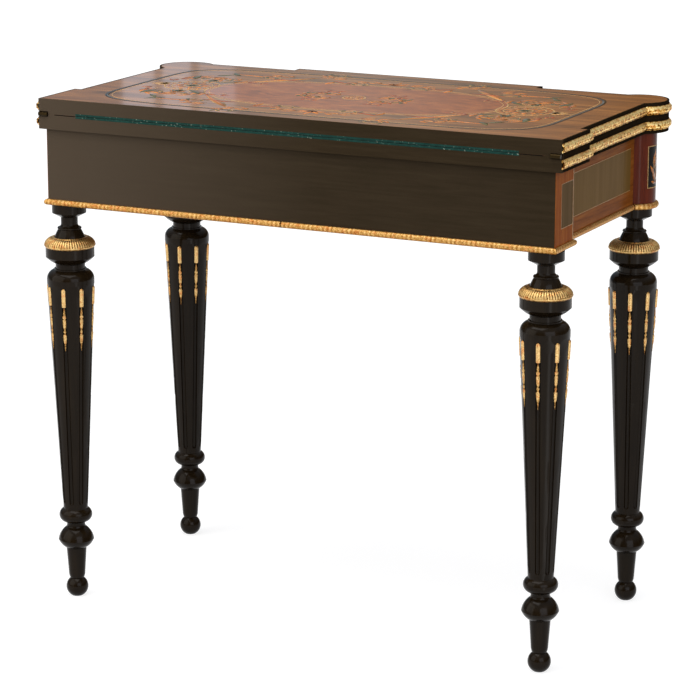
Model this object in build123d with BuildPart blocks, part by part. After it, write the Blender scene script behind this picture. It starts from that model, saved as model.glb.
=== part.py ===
from build123d import *
import os
from math import atan2, cos, degrees, radians, sin, sqrt

# Fold-over games table with a swivelling top, in millimetres.
# +Z is up, +Y is the plain back, -Y the decorated front. The origin is under the middle of the
# table's box, on the floor. The top is two leaves hinged along the back edge.

# The whole table
table_height = 770.0
leaf_thickness = 22.5
pad_thickness = 1.0
frieze_height = 113.0

# The leaf seen from above: half widths in x, and distances in y
block_half_width = 414.0
side_step = 11.0
block_run = 103.0
leaf_depth = 437.5
breakfront_half_width = 206.0
breakfront_forward = 17.5
lobe_radius = 43.5
lobe_inset = 23.0
lobe_setback = 32.0

# Gilt band on the leaf edges: a hollow half round with a flange above and below, cut in mitred lengths
band_height = 12.5
band_projection = 4.5
band_wall = 0.9
band_flange = 1.8
mitre_gap = 0.1

# Cloth bed inside the leaves, and the veneered sheet on the top
baize_end_border = 63.0
baize_front_border = 58.0
baize_corner = 40.0
baize_recess = 3.5
baize_thickness = 1.0
veneer_rim = 3.0
veneer_thickness = 1.2

# Edge hinges at the back corners
barrel_radius = 3.5
barrel_clearance = 0.5
hinge_gap = 0.25
hinge_edge_margin = 1.0
hinge_plate_width = 15.0
hinge_plate_length = 70.0
hinge_plate_thickness = 2.5
knuckle_gap = 0.2
pin_radius = 1.5
pin_clearance = 0.06
hinge_screw_head = 3.2
hinge_screw_shank = 1.5
hinge_screw_length = 12.0
hinge_screw_end = 14.0
hinge_screw_count = 3

# Frieze: the box under the leaves
frieze_back_inset = 5.0
post_width = 66.0
post_overhang = 10.0
post_step = 17.0
rail_thickness = 22.0
column_forward = 8.0
column_radius = 30.0
front_rail_forward = 17.0
tablet_inset = 16.0
tablet_thickness = 16.0

# Half-round gilt moulding round the foot of the frieze
moulding_height = 9.0
moulding_projection = 5.0
moulding_joint_x = 15.0
moulding_joint_gap = 0.6

# Card well and the bearer that carries the pivot
well_board = 10.0
well_board_clearance = 0.2
block_height = 11.0
block_width = 12.0
block_length = 44.0
bearer_width = 100.0
bearer_thickness = 22.0
partition_thickness = 12.0
pad_width = 12.0
pad_length = 70.0

# Pivot of the top
pivot_plate_size = 56.0
pivot_plate_thickness = 3.0
pivot_bolt_radius = 5.0
pivot_running_clearance = 0.08
pivot_head_radius = 12.0
pivot_head_height = 3.0
pivot_head_clearance = 0.2
washer_radius = 14.0
washer_thickness = 2.0
nut_size = 18.0
nut_height = 10.0
bolt_end = 3.0
pivot_screw_offset = 20.0
pivot_screw_head = 4.0
pivot_screw_shank = 2.0
pivot_screw_length = 12.0
stop_radius = 38.0
stop_peg_radius = 5.0
stop_peg_reach = 11.0
stop_peg_socket = 10.0
stop_groove_depth = 12.5
stop_clearance = 0.3
swivel_angle = 90.0

# Inlaid panels in the frieze
panel_thickness = 1.5
panel_height = 62.0
panel_rise = 31.5
side_panel_back_margin = 34.0
side_panel_front_margin = 42.0
post_panel_back_margin = 22.0
post_panel_front_margin = 2.5
column_panel_angle = 34.0
tablet_panel_margin = 40.0
flank_panel_near_margin = 22.0
flank_panel_far_margin = 50.0

# Legs: the back pair's axis from the leaves' back edge and how far it stands outside the columns'
# axis, then the turned members from the floor up
back_leg_run = 28.0
back_leg_splay = 2.5
ball_radius = 16.8
ball_flat = 2.5
ankle_radius = 10.3
peg_foot_radius = 12.5
peg_top_radius = 15.3
peg_height = 49.4
low_bead_radius = 27.0
low_bead_height = 33.0
low_bead_rise = 13.5
cove_lip_radius = 14.8
cove_radius = 13.75
cove_height = 8.0
high_bead_radius = 25.0
high_bead_height = 21.5
shaft_foot_radius = 18.5
shaft_top_radius = 35.5
shaft_band_height = 7.0
shoulder_radius = 24.0
shoulder_height = 15.0
shoulder_fillet = 1.5
notch_radius = 22.0
notch_height = 7.5
dish_height = 10.5
disc_radius = 36.4
disc_height = 14.5
collar_seat_radius = 22.5
collar_height = 15.5
collar_radius = 38.5
collar_foot_height = 3.5
collar_top_radius = 24.5
collar_crown_shares = (0.7, 0.62)
bell_height = 19.0
bell_waist_radius = 17.0
bell_waist_height = 11.5
bell_bead_radius = 18.0
bell_bead_height = 3.2
bell_bead_step = 1.0
throat_radius = 12.6
throat_height = 10.5
throat_flare = 7.0
abacus_radius = 25.5
abacus_height = 13.5
tenon_radius = 12.0
tenon_length = 60.0
tenon_clearance = 0.1
tenon_end_gap = 2.0

# Flutes and the gilt drops set in their heads
flute_count = 8
flute_radius = 3.5
flute_foot = 12.0
flute_head = 7.0
drop_length = 96.0
drop_rod_radius = 3.2
drop_rod_length = 30.0
drop_bead_radius = 3.1
leg_turns = {"back_left": 7.0, "back_right": 13.0, "front_left": 14.0, "front_right": 9.0}

overrun = 5.0

# Levels
table_top = table_height
fold_level = table_height - leaf_thickness
leaf_underside = fold_level - leaf_thickness
frieze_top = leaf_underside - pad_thickness
frieze_bottom = frieze_top - frieze_height

# Plan: the box is centred on the origin. The back legs' collars reach past the leaves' back edge
back_overhang = max(collar_radius - back_leg_run, hinge_gap + barrel_radius)
box_depth = leaf_depth + band_projection + back_overhang
back_y = box_depth / 2 - back_overhang
hinge_y = back_y + hinge_gap
step_y = back_y - block_run
front_y = back_y - leaf_depth
recess_y = front_y + breakfront_forward
side_half_width = block_half_width - side_step
lobe_x = side_half_width - lobe_inset
lobe_y = recess_y + lobe_setback
flare_y = lobe_y + sqrt(lobe_radius**2 - (side_half_width - lobe_x) ** 2)
lobe_recess_x = lobe_x - sqrt(lobe_radius**2 - (recess_y - lobe_y) ** 2)

baize_half_width = block_half_width - baize_end_border
baize_front = recess_y + baize_front_border

post_outer = block_half_width - post_overhang
post_inner = post_outer - post_width
side_outer = post_outer - post_step
side_inner = side_outer - rail_thickness
frieze_back = back_y - frieze_back_inset
back_inner = frieze_back - rail_thickness
post_front = frieze_back - post_width
column_x = lobe_x
column_y = lobe_y + column_forward
tablet_half_width = breakfront_half_width - tablet_inset
front_outer = column_y - front_rail_forward
front_inner = front_outer + rail_thickness
tablet_y = front_outer - tablet_thickness
column_meets_side = column_y + sqrt(column_radius**2 - (side_outer - column_x) ** 2)
column_meets_front = column_x - sqrt(column_radius**2 - front_rail_forward**2)

# The top turns a quarter round this point and ends with its hinge line over the frame's middle
pivot_x = hinge_y / 2
pivot_y = hinge_y / 2

board_bottom = frieze_bottom + block_height
board_top = board_bottom + well_board
bearer_bottom = frieze_top - bearer_thickness

panel_bottom = frieze_bottom + panel_rise
side_panel_back = post_front - side_panel_back_margin
side_panel_front = column_y + side_panel_front_margin
tablet_panel_half_width = tablet_half_width - tablet_panel_margin
flank_panel_near = tablet_half_width + flank_panel_near_margin
flank_panel_far = column_x - flank_panel_far_margin


def ring_point(radius, angle):
    """A point on a circle round the origin, the angle in degrees from +X."""
    return (radius * cos(radians(angle)), radius * sin(radians(angle)))


def finish(part, name):
    """Label a finished piece and write it."""
    part.label = name
    export_step(part, f"parts/{name}.step")


os.makedirs("parts", exist_ok=True)

# The right half of a leaf's edge, from its back corner round to the middle of its front. Each
# stretch is a start, an end and a centre, with a centre where it is an arc, travelled clockwise
leaf_edge = [
    ((block_half_width, back_y), (block_half_width, step_y), None),
    ((block_half_width, step_y), (side_half_width, step_y), None),
    ((side_half_width, step_y), (side_half_width, flare_y), None),
    ((side_half_width, flare_y), (lobe_recess_x, recess_y), (lobe_x, lobe_y)),
    ((lobe_recess_x, recess_y), (breakfront_half_width, recess_y), None),
    ((breakfront_half_width, recess_y), (breakfront_half_width, front_y), None),
    ((breakfront_half_width, front_y), (0, front_y), None),
]

# The right half of the frieze's face, from the middle of the back round to the middle of the front
frieze_edge = [
    ((0, frieze_back), (post_outer, frieze_back), None),
    ((post_outer, frieze_back), (post_outer, post_front), None),
    ((post_outer, post_front), (side_outer, post_front), None),
    ((side_outer, post_front), (side_outer, column_meets_side), None),
    ((side_outer, column_meets_side), (column_meets_front, front_outer), (column_x, column_y)),
    ((column_meets_front, front_outer), (tablet_half_width, front_outer), None),
    ((tablet_half_width, front_outer), (tablet_half_width, tablet_y), None),
    ((tablet_half_width, tablet_y), (0, tablet_y), None),
]


def arc_sweep(start, end, centre):
    """Bearing of an arc's start from its centre, and how far it turns clockwise, in degrees."""
    first = degrees(atan2(start[1] - centre[1], start[0] - centre[0]))
    last = degrees(atan2(end[1] - centre[1], end[0] - centre[0]))
    return first, (first - last) % 360


def draw_edge(edge):
    """Draw the stretches of an edge in plan."""
    for start, end, centre in edge:
        if centre is None:
            Line(start, end)
        else:
            first, turn = arc_sweep(start, end, centre)
            radius = sqrt((start[0] - centre[0]) ** 2 + (start[1] - centre[1]) ** 2)
            x, y = ring_point(radius, first - turn / 2)
            ThreePointArc(start, (centre[0] + x, centre[1] + y), end)


def draw_leaf():
    """The whole outline of a leaf."""
    Line((0, back_y), (block_half_width, back_y))
    draw_edge(leaf_edge)
    mirror(about=Plane.YZ)


def headings(start, end, centre):
    """Directions of travel at the two ends of a stretch."""
    if centre is None:
        along = (Vector(*end, 0) - Vector(*start, 0)).normalized()
        return along, along
    radii = [Vector(p[0] - centre[0], p[1] - centre[1], 0).normalized() for p in (start, end)]
    return [Vector(r.Y, -r.X, 0) for r in radii]


def moulding_stretch(edge, k, level, draw_section):
    """One stretch of a moulding that runs along an edge, cut to its mitres."""
    start, end, centre = edge[k]
    leaving, arriving = headings(start, end, centre)
    outward = Vector(-leaving.Y, leaving.X, 0)
    lead = overrun if k > 0 and centre is None else 0
    trail = overrun if k < len(edge) - 1 else 0
    origin = Vector(*start, level) - leaving * lead
    with BuildPart() as stretch:
        with BuildSketch(Plane(origin=origin, x_dir=outward, z_dir=leaving)):
            with BuildLine():
                draw_section()
            make_face()
        if centre is None:
            extrude(amount=(Vector(*end, 0) - Vector(*start, 0)).length + lead + trail)
        else:
            revolve(axis=Axis((*centre, 0), (0, 0, -1)), revolution_arc=arc_sweep(start, end, centre)[1])
        if k > 0:
            mitre = (headings(*edge[k - 1])[1] + leaving).normalized()
            cut = Vector(*start, level) + mitre * mitre_gap / 2
            split(bisect_by=Plane(origin=cut, z_dir=mitre), keep=Keep.TOP)
        if k < len(edge) - 1:
            mitre = (arriving + headings(*edge[k + 1])[0]).normalized()
            cut = Vector(*end, level) - mitre * mitre_gap / 2
            split(bisect_by=Plane(origin=cut, z_dir=mitre), keep=Keep.BOTTOM)
    return stretch.part


def lay_moulding(edge, stretches, level, draw_section):
    """Some stretches of the moulding along an edge, each mitred length a solid of its own."""
    with BuildPart() as lengths:
        for k in stretches:
            add(moulding_stretch(edge, k, level, draw_section))
    return lengths.part


def hinge_barrel_x(side):
    """The outer and inner ends of a hinge barrel, on the side given by its sign."""
    outer = block_half_width - hinge_edge_margin
    return side * outer, side * (outer - hinge_plate_width)


def hinge_screw_ys():
    """Where a hinge plate's screws stand, counted along the leaf's end."""
    first = back_y - hinge_screw_end
    last = back_y - hinge_plate_length + hinge_screw_end - hinge_screw_head
    return [first + (last - first) * k / (hinge_screw_count - 1) for k in range(hinge_screw_count)]


hinge_centre_x = block_half_width - hinge_edge_margin - hinge_plate_width / 2
hinge_screw_places = [(side * hinge_centre_x, y) for side in (-1, 1) for y in hinge_screw_ys()]
pivot_screw_places = [(pivot_x + i * pivot_screw_offset, pivot_y + j * pivot_screw_offset)
                      for i in (-1, 1) for j in (-1, 1)]


def make_leaf(name, bottom, inner_up):
    """One leaf board. Its inner face, with the cloth bed and the hinge plates, faces its twin."""
    inner_z = fold_level
    bed_bottom = inner_z - baize_recess if inner_up else inner_z
    plate_bottom = inner_z - hinge_plate_thickness if inner_up else inner_z
    screw_side = -1 if inner_up else 1
    with BuildPart() as leaf:
        with BuildSketch(Plane.XY.offset(bottom)):
            with BuildLine():
                draw_leaf()
            make_face()
        extrude(amount=leaf_thickness)
        with BuildSketch(Plane.XY.offset(bed_bottom)):
            with BuildLine():
                baize_bed_line(overrun)
            make_face()
        extrude(amount=baize_recess, mode=Mode.SUBTRACT)
        for side in (-1, 1):
            outer, inner = hinge_barrel_x(side)
            with Locations(((outer + inner) / 2, back_y - hinge_plate_length / 2,
                            plate_bottom + hinge_plate_thickness / 2)):
                Box(hinge_plate_width, hinge_plate_length, hinge_plate_thickness, mode=Mode.SUBTRACT)
            notch_outer = side * (block_half_width + overrun)
            notch_inner = inner - side * knuckle_gap
            notch_length = abs(notch_outer - notch_inner)
            with Locations(Location(((notch_outer + notch_inner) / 2, hinge_y, inner_z), (0, 90, 0))):
                Cylinder(barrel_radius + barrel_clearance, notch_length, mode=Mode.SUBTRACT)
        for x, y in hinge_screw_places:
            with Locations((x, y, inner_z + screw_side * hinge_screw_length / 2)):
                Cylinder(hinge_screw_shank, hinge_screw_length, mode=Mode.SUBTRACT)
        if inner_up:
            with Locations((pivot_x, pivot_y, bottom + pivot_plate_thickness / 2)):
                Box(pivot_plate_size, pivot_plate_size, pivot_plate_thickness, mode=Mode.SUBTRACT)
            with Locations((pivot_x, pivot_y, bottom + pivot_plate_thickness + pivot_head_height / 2)):
                Cylinder(pivot_head_radius + pivot_head_clearance, pivot_head_height, mode=Mode.SUBTRACT)
            for x, y in pivot_screw_places:
                with Locations((x, y, bottom + pivot_screw_length / 2)):
                    Cylinder(pivot_screw_shank, pivot_screw_length, mode=Mode.SUBTRACT)
            with Locations((pivot_x - stop_radius, pivot_y, bottom + stop_peg_socket / 2)):
                Cylinder(stop_peg_radius, stop_peg_socket, mode=Mode.SUBTRACT)
        else:
            with BuildSketch(Plane.XY.offset(table_top - veneer_thickness)):
                with BuildLine():
                    draw_leaf()
                make_face()
                offset(amount=-veneer_rim, kind=Kind.INTERSECTION)
            extrude(amount=veneer_thickness, mode=Mode.SUBTRACT)
    finish(leaf.part, name)


def baize_bed_line(past_back):
    """Outline of the cloth bed, open at the back edge, with rounded front corners."""
    bend = baize_corner * (1 - cos(radians(45)))
    back = back_y + past_back
    Polyline((-baize_half_width, baize_front + baize_corner), (-baize_half_width, back),
             (baize_half_width, back), (baize_half_width, baize_front + baize_corner))
    ThreePointArc((baize_half_width, baize_front + baize_corner),
                  (baize_half_width - bend, baize_front + bend),
                  (baize_half_width - baize_corner, baize_front))
    Line((baize_half_width - baize_corner, baize_front), (baize_corner - baize_half_width, baize_front))
    ThreePointArc((baize_corner - baize_half_width, baize_front),
                  (bend - baize_half_width, baize_front + bend),
                  (-baize_half_width, baize_front + baize_corner))


# The two leaves, and the cloth glued into each
make_leaf("lower_leaf", leaf_underside, True)
make_leaf("upper_leaf", fold_level, False)
for name, level in (("lower_baize", fold_level - baize_recess),
                    ("upper_baize", fold_level + baize_recess - baize_thickness)):
    with BuildPart() as baize:
        with BuildSketch(Plane.XY.offset(level)):
            with BuildLine():
                baize_bed_line(0)
            make_face()
        extrude(amount=baize_thickness)
    finish(baize.part, name)

# The veneered sheet let into the top, inside a narrow ebonised rim
with BuildPart() as top_veneer:
    with BuildSketch(Plane.XY.offset(table_top - veneer_thickness)):
        with BuildLine():
            draw_leaf()
        make_face()
        offset(amount=-veneer_rim, kind=Kind.INTERSECTION)
    extrude(amount=veneer_thickness)
finish(top_veneer.part, "top_veneer")


def band_section():
    """Section of the hollow gilt band: x outwards from the wood, y up."""
    half = band_height / 2
    crown = half - band_flange
    hollow = crown - band_wall
    Polyline((0, hollow), (0, half), (band_wall, half), (band_wall, crown))
    ThreePointArc((band_wall, crown), (band_projection, 0), (band_wall, -crown))
    Polyline((band_wall, -crown), (band_wall, -half), (0, -half), (0, -hollow))
    ThreePointArc((0, -hollow), (band_projection - band_wall, 0), (0, hollow))


def make_bands(prefix, level):
    """The band on one leaf: three lengths at each end, and the lengths round the lobes and front."""
    end_lengths = lay_moulding(leaf_edge, range(0, 3), level, band_section)
    finish(end_lengths, f"{prefix}_right_band")
    finish(mirror(end_lengths, about=Plane.YZ), f"{prefix}_left_band")
    with BuildPart() as front_band:
        add(lay_moulding(leaf_edge, range(3, len(leaf_edge)), level, band_section))
        mirror(about=Plane.YZ)
    finish(front_band.part, f"{prefix}_front_band")


make_bands("lower", leaf_underside + leaf_thickness / 2)
make_bands("upper", fold_level + leaf_thickness / 2)


def make_hinge_plate(name, side, upper):
    """A plate let into a leaf's end, with its knuckles: two on the lower plate, one on the upper."""
    outer, inner = hinge_barrel_x(side)
    low_x, high_x = min(outer, inner), max(outer, inner)
    third = hinge_plate_width / 3
    plate_z = fold_level if upper else fold_level - hinge_plate_thickness
    own = [low_x + third * 1.5] if upper else [low_x + third / 2, high_x - third / 2]
    other = [low_x + third / 2, high_x - third / 2] if upper else [low_x + third * 1.5]
    with BuildPart() as plate:
        with Locations(((low_x + high_x) / 2, back_y - hinge_plate_length / 2,
                        plate_z + hinge_plate_thickness / 2)):
            Box(hinge_plate_width, hinge_plate_length, hinge_plate_thickness)
        for x in other:
            with Locations(Location((x, hinge_y, fold_level), (0, 90, 0))):
                Cylinder(barrel_radius + barrel_clearance, third, mode=Mode.SUBTRACT)
        for x in own:
            with Locations(Location((x, hinge_y, fold_level), (0, 90, 0))):
                Cylinder(barrel_radius, third - knuckle_gap)
        with Locations(Location(((low_x + high_x) / 2, hinge_y, fold_level), (0, 90, 0))):
            Cylinder(pin_radius + pin_clearance, hinge_plate_width + overrun, mode=Mode.SUBTRACT)
        turned = 180 if upper else 0
        for x, y in hinge_screw_places:
            if x * side > 0:
                with Locations(Location((x, y, fold_level), (turned, 0, 0))):
                    CounterSinkHole(radius=hinge_screw_shank, counter_sink_radius=hinge_screw_head,
                                    depth=hinge_plate_thickness)
    finish(plate.part, name)


for side, word in ((1, "right"), (-1, "left")):
    make_hinge_plate(f"lower_{word}_hinge_plate", side, False)
    make_hinge_plate(f"upper_{word}_hinge_plate", side, True)

# One pin through the knuckles at each end
with BuildPart() as hinge_pins:
    for side in (-1, 1):
        outer, inner = hinge_barrel_x(side)
        with Locations(Location(((outer + inner) / 2, hinge_y, fold_level), (0, 90, 0))):
            Cylinder(pin_radius, hinge_plate_width)
finish(hinge_pins.part, "hinge_pins")


def screw_outline(head, shank, length):
    """Half section of a countersunk screw whose flat head lies at zero and which points down."""
    Polyline((0, 0), (head, 0), (shank, shank - head), (shank, -length), (0, -length), close=True)


def make_screws(name, places, level, head, shank, length, pointing_up):
    """A group of like countersunk screws, each a solid of its own."""
    with BuildPart() as one_screw:
        with BuildSketch(Plane.XZ):
            with BuildLine():
                screw_outline(head, shank, length)
            make_face()
        revolve(axis=Axis.Z)
    with BuildPart() as screws:
        turned = 180 if pointing_up else 0
        with Locations(*[Location((x, y, level), (turned, 0, 0)) for x, y in places]):
            add(one_screw.part)
    finish(screws.part, name)


make_screws("lower_hinge_screws", hinge_screw_places, fold_level, hinge_screw_head,
            hinge_screw_shank, hinge_screw_length, False)
make_screws("upper_hinge_screws", hinge_screw_places, fold_level, hinge_screw_head,
            hinge_screw_shank, hinge_screw_length, True)
make_screws("pivot_screws", pivot_screw_places, leaf_underside, pivot_screw_head,
            pivot_screw_shank, pivot_screw_length, True)

# Pivot: plate let into the lower leaf, bolt with its head trapped above the plate, washer and nut
plate_top = leaf_underside + pivot_plate_thickness
nut_top = bearer_bottom - washer_thickness
nut_bottom = nut_top - nut_height
bolt_bottom = nut_bottom - bolt_end
with BuildPart() as pivot_plate:
    with Locations((pivot_x, pivot_y, leaf_underside + pivot_plate_thickness / 2)):
        Box(pivot_plate_size, pivot_plate_size, pivot_plate_thickness)
    with Locations((pivot_x, pivot_y, leaf_underside + pivot_plate_thickness / 2)):
        Cylinder(pivot_bolt_radius, pivot_plate_thickness, mode=Mode.SUBTRACT)
    for x, y in pivot_screw_places:
        with Locations(Location((x, y, leaf_underside), (180, 0, 0))):
            CounterSinkHole(radius=pivot_screw_shank, counter_sink_radius=pivot_screw_head,
                            depth=pivot_plate_thickness)
finish(pivot_plate.part, "pivot_plate")

with BuildPart() as pivot_bolt:
    with Locations((pivot_x, pivot_y, (plate_top + bolt_bottom) / 2)):
        Cylinder(pivot_bolt_radius, plate_top - bolt_bottom)
    with Locations((pivot_x, pivot_y, plate_top + pivot_head_height / 2)):
        Cylinder(pivot_head_radius, pivot_head_height)
finish(pivot_bolt.part, "pivot_bolt")

with BuildPart() as pivot_washer:
    with Locations((pivot_x, pivot_y, bearer_bottom - washer_thickness / 2)):
        Cylinder(washer_radius, washer_thickness)
        Cylinder(pivot_bolt_radius + pivot_running_clearance, washer_thickness, mode=Mode.SUBTRACT)
finish(pivot_washer.part, "pivot_washer")

with BuildPart() as pivot_nut:
    with Locations((pivot_x, pivot_y, nut_top - nut_height / 2)):
        Box(nut_size, nut_size, nut_height)
        Cylinder(pivot_bolt_radius, nut_height, mode=Mode.SUBTRACT)
finish(pivot_nut.part, "pivot_nut")

with BuildPart() as stop_peg:
    peg_middle = leaf_underside + (stop_peg_socket - stop_peg_reach) / 2
    with Locations((pivot_x - stop_radius, pivot_y, peg_middle)):
        Cylinder(stop_peg_radius, stop_peg_socket + stop_peg_reach)
finish(stop_peg.part, "stop_peg")

# Frieze rails
with BuildPart() as back_rail:
    with Locations((0, frieze_back - rail_thickness / 2, (frieze_top + frieze_bottom) / 2)):
        Box(2 * post_inner, rail_thickness, frieze_height)
finish(back_rail.part, "back_rail")

with BuildPart() as front_rail:
    with Locations((0, (front_outer + front_inner) / 2, (frieze_top + frieze_bottom) / 2)):
        Box(2 * column_x, rail_thickness, frieze_height)
    with Locations((0, front_outer - tablet_thickness / 2, (frieze_top + frieze_bottom) / 2)):
        Box(2 * tablet_half_width, tablet_thickness, frieze_height)
    with Locations((column_x, column_y, frieze_bottom + frieze_height / 2),
                   (-column_x, column_y, frieze_bottom + frieze_height / 2)):
        Cylinder(column_radius, frieze_height, mode=Mode.SUBTRACT)
    with Locations((0, tablet_y + panel_thickness / 2, panel_bottom + panel_height / 2)):
        Box(2 * tablet_panel_half_width, panel_thickness, panel_height, mode=Mode.SUBTRACT)
    for side in (-1, 1):
        with Locations((side * (flank_panel_near + flank_panel_far) / 2, front_outer + panel_thickness / 2,
                        panel_bottom + panel_height / 2)):
            Box(flank_panel_far - flank_panel_near, panel_thickness, panel_height, mode=Mode.SUBTRACT)
finish(front_rail.part, "front_rail")

for side, word in ((1, "right"), (-1, "left")):
    rail_length = post_front - column_y
    with BuildPart() as side_rail:
        with Locations((side * (side_outer + side_inner) / 2, (post_front + column_y) / 2,
                        (frieze_top + frieze_bottom) / 2)):
            Box(rail_thickness, rail_length, frieze_height)
        with Locations((side * column_x, column_y, frieze_bottom + frieze_height / 2)):
            Cylinder(column_radius, frieze_height, mode=Mode.SUBTRACT)
        with Locations((side * (side_outer - panel_thickness / 2), (side_panel_back + side_panel_front) / 2,
                        panel_bottom + panel_height / 2)):
            Box(panel_thickness, side_panel_back - side_panel_front, panel_height, mode=Mode.SUBTRACT)
        with Locations((0, (front_outer + front_inner) / 2, (frieze_top + frieze_bottom) / 2)):
            Box(2 * column_x, rail_thickness, frieze_height, mode=Mode.SUBTRACT)
    finish(side_rail.part, f"{word}_side_rail")

# Panels let into the side rails
for side, word in ((1, "right"), (-1, "left")):
    with BuildPart() as side_panel:
        with Locations((side * (side_outer - panel_thickness / 2), (side_panel_back + side_panel_front) / 2,
                        panel_bottom + panel_height / 2)):
            Box(panel_thickness, side_panel_back - side_panel_front, panel_height)
    finish(side_panel.part, f"{word}_side_panel")

# Back corner posts, each bored for a leg's tenon
post_panel_width = post_width - post_panel_back_margin - post_panel_front_margin
post_panel_y = post_front + post_panel_front_margin + post_panel_width / 2
back_leg_x = column_x + back_leg_splay
back_leg_y = back_y - back_leg_run
for side, word in ((1, "right"), (-1, "left")):
    with BuildPart() as post:
        with Locations((side * (post_outer + post_inner) / 2, (frieze_back + post_front) / 2,
                        (frieze_top + frieze_bottom) / 2)):
            Box(post_width, post_width, frieze_height)
        with Locations((side * (post_outer - panel_thickness / 2), post_panel_y,
                        panel_bottom + panel_height / 2)):
            Box(panel_thickness, post_panel_width, panel_height, mode=Mode.SUBTRACT)
        with Locations((side * back_leg_x, back_leg_y, frieze_bottom + (tenon_length + tenon_end_gap) / 2)):
            Cylinder(tenon_radius + tenon_clearance, tenon_length + tenon_end_gap, mode=Mode.SUBTRACT)
    finish(post.part, f"back_{word}_post")

with BuildPart() as post_panels:
    for side in (-1, 1):
        with Locations((side * (post_outer - panel_thickness / 2), post_panel_y,
                        panel_bottom + panel_height / 2)):
            Box(panel_thickness, post_panel_width, panel_height)
finish(post_panels.part, "post_panels")


def column_panel_sketch(side, bearing):
    """Plan of a curved panel set flush in a corner column, its middle at a bearing from +X."""
    centre = (side * column_x, column_y)
    inner = column_radius - panel_thickness
    ends = (bearing - column_panel_angle, bearing, bearing + column_panel_angle)
    far = [tuple(c + d for c, d in zip(centre, ring_point(column_radius, a))) for a in ends]
    near = [tuple(c + d for c, d in zip(centre, ring_point(inner, a))) for a in ends]
    ThreePointArc(*far)
    Line(far[2], near[2])
    ThreePointArc(*reversed(near))
    Line(near[0], far[0])


column_panel_places = [(1, 0), (1, 270), (-1, 180), (-1, 270)]

# Front corner columns, turned and polished
for side, word in ((1, "right"), (-1, "left")):
    with BuildPart() as column:
        with Locations((side * column_x, column_y, frieze_bottom + frieze_height / 2)):
            Cylinder(column_radius, frieze_height)
        for panel_side, bearing in column_panel_places:
            if panel_side == side:
                with BuildSketch(Plane.XY.offset(panel_bottom)):
                    with BuildLine():
                        column_panel_sketch(side, bearing)
                    make_face()
                extrude(amount=panel_height, mode=Mode.SUBTRACT)
        with Locations((side * column_x, column_y, frieze_bottom + (tenon_length + tenon_end_gap) / 2)):
            Cylinder(tenon_radius + tenon_clearance, tenon_length + tenon_end_gap, mode=Mode.SUBTRACT)
    finish(column.part, f"front_{word}_column")

with BuildPart() as column_panels:
    for side, bearing in column_panel_places:
        with BuildSketch(Plane.XY.offset(panel_bottom)):
            with BuildLine():
                column_panel_sketch(side, bearing)
            make_face()
        extrude(amount=panel_height)
finish(column_panels.part, "column_panels")

with BuildPart() as front_panels:
    with Locations((0, tablet_y + panel_thickness / 2, panel_bottom + panel_height / 2)):
        Box(2 * tablet_panel_half_width, panel_thickness, panel_height)
    for side in (-1, 1):
        with Locations((side * (flank_panel_near + flank_panel_far) / 2, front_outer + panel_thickness / 2,
                        panel_bottom + panel_height / 2)):
            Box(flank_panel_far - flank_panel_near, panel_thickness, panel_height)
finish(front_panels.part, "front_panels")

# Bearer across the frieze, with the pivot's bore and the quarter groove that stops the top
with BuildPart() as pivot_bearer:
    with Locations((pivot_x, (front_inner + back_inner) / 2, frieze_top - bearer_thickness / 2)):
        Box(bearer_width, back_inner - front_inner, bearer_thickness)
    with Locations((pivot_x, pivot_y, frieze_top - bearer_thickness / 2)):
        Cylinder(pivot_bolt_radius + pivot_running_clearance, bearer_thickness, mode=Mode.SUBTRACT)
    with BuildSketch(Plane.XY.offset(frieze_top - stop_groove_depth)):
        with BuildLine(mode=Mode.PRIVATE) as groove_line:
            CenterArc((pivot_x, pivot_y), stop_radius, 180, swivel_angle)
        SlotArc(groove_line.edges()[0], 2 * (stop_peg_radius + stop_clearance))
    extrude(amount=stop_groove_depth, mode=Mode.SUBTRACT)
finish(pivot_bearer.part, "pivot_bearer")

with BuildPart() as well_partition:
    with Locations((pivot_x - (bearer_width - partition_thickness) / 2, (front_inner + back_inner) / 2,
                    (board_top + bearer_bottom) / 2)):
        Box(partition_thickness, back_inner - front_inner, bearer_bottom - board_top)
finish(well_partition.part, "well_partition")

# Bottom board of the well, notched round the posts and columns
with BuildPart() as well_bottom:
    with Locations((0, (front_inner + back_inner) / 2, (board_top + board_bottom) / 2)):
        Box(2 * side_inner, back_inner - front_inner, well_board)
    for side in (-1, 1):
        notch = post_width + 2 * well_board_clearance
        with Locations((side * (post_outer + post_inner) / 2, (frieze_back + post_front) / 2,
                        (board_top + board_bottom) / 2)):
            Box(notch, notch, well_board, mode=Mode.SUBTRACT)
        with Locations((side * column_x, column_y, (board_top + board_bottom) / 2)):
            Cylinder(column_radius + well_board_clearance, well_board, mode=Mode.SUBTRACT)
finish(well_bottom.part, "well_bottom")

# Glue blocks under the bottom board, rubbed into the angle with the rails
block_places = []
for k in (-1, 0, 1):
    block_places.append((k * post_inner * 2 / 3, back_inner - block_width / 2, block_length, block_width))
    block_places.append((k * post_inner * 2 / 3, front_inner + block_width / 2, block_length, block_width))
for side in (-1, 1):
    block_places.append((side * (side_inner - block_width / 2), (post_front + column_y) / 2,
                         block_width, block_length))
with BuildPart() as glue_blocks:
    for x, y, length_x, length_y in block_places:
        with Locations((x, y, frieze_bottom + block_height / 2)):
            Box(length_x, length_y, block_height)
finish(glue_blocks.part, "glue_blocks")

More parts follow.
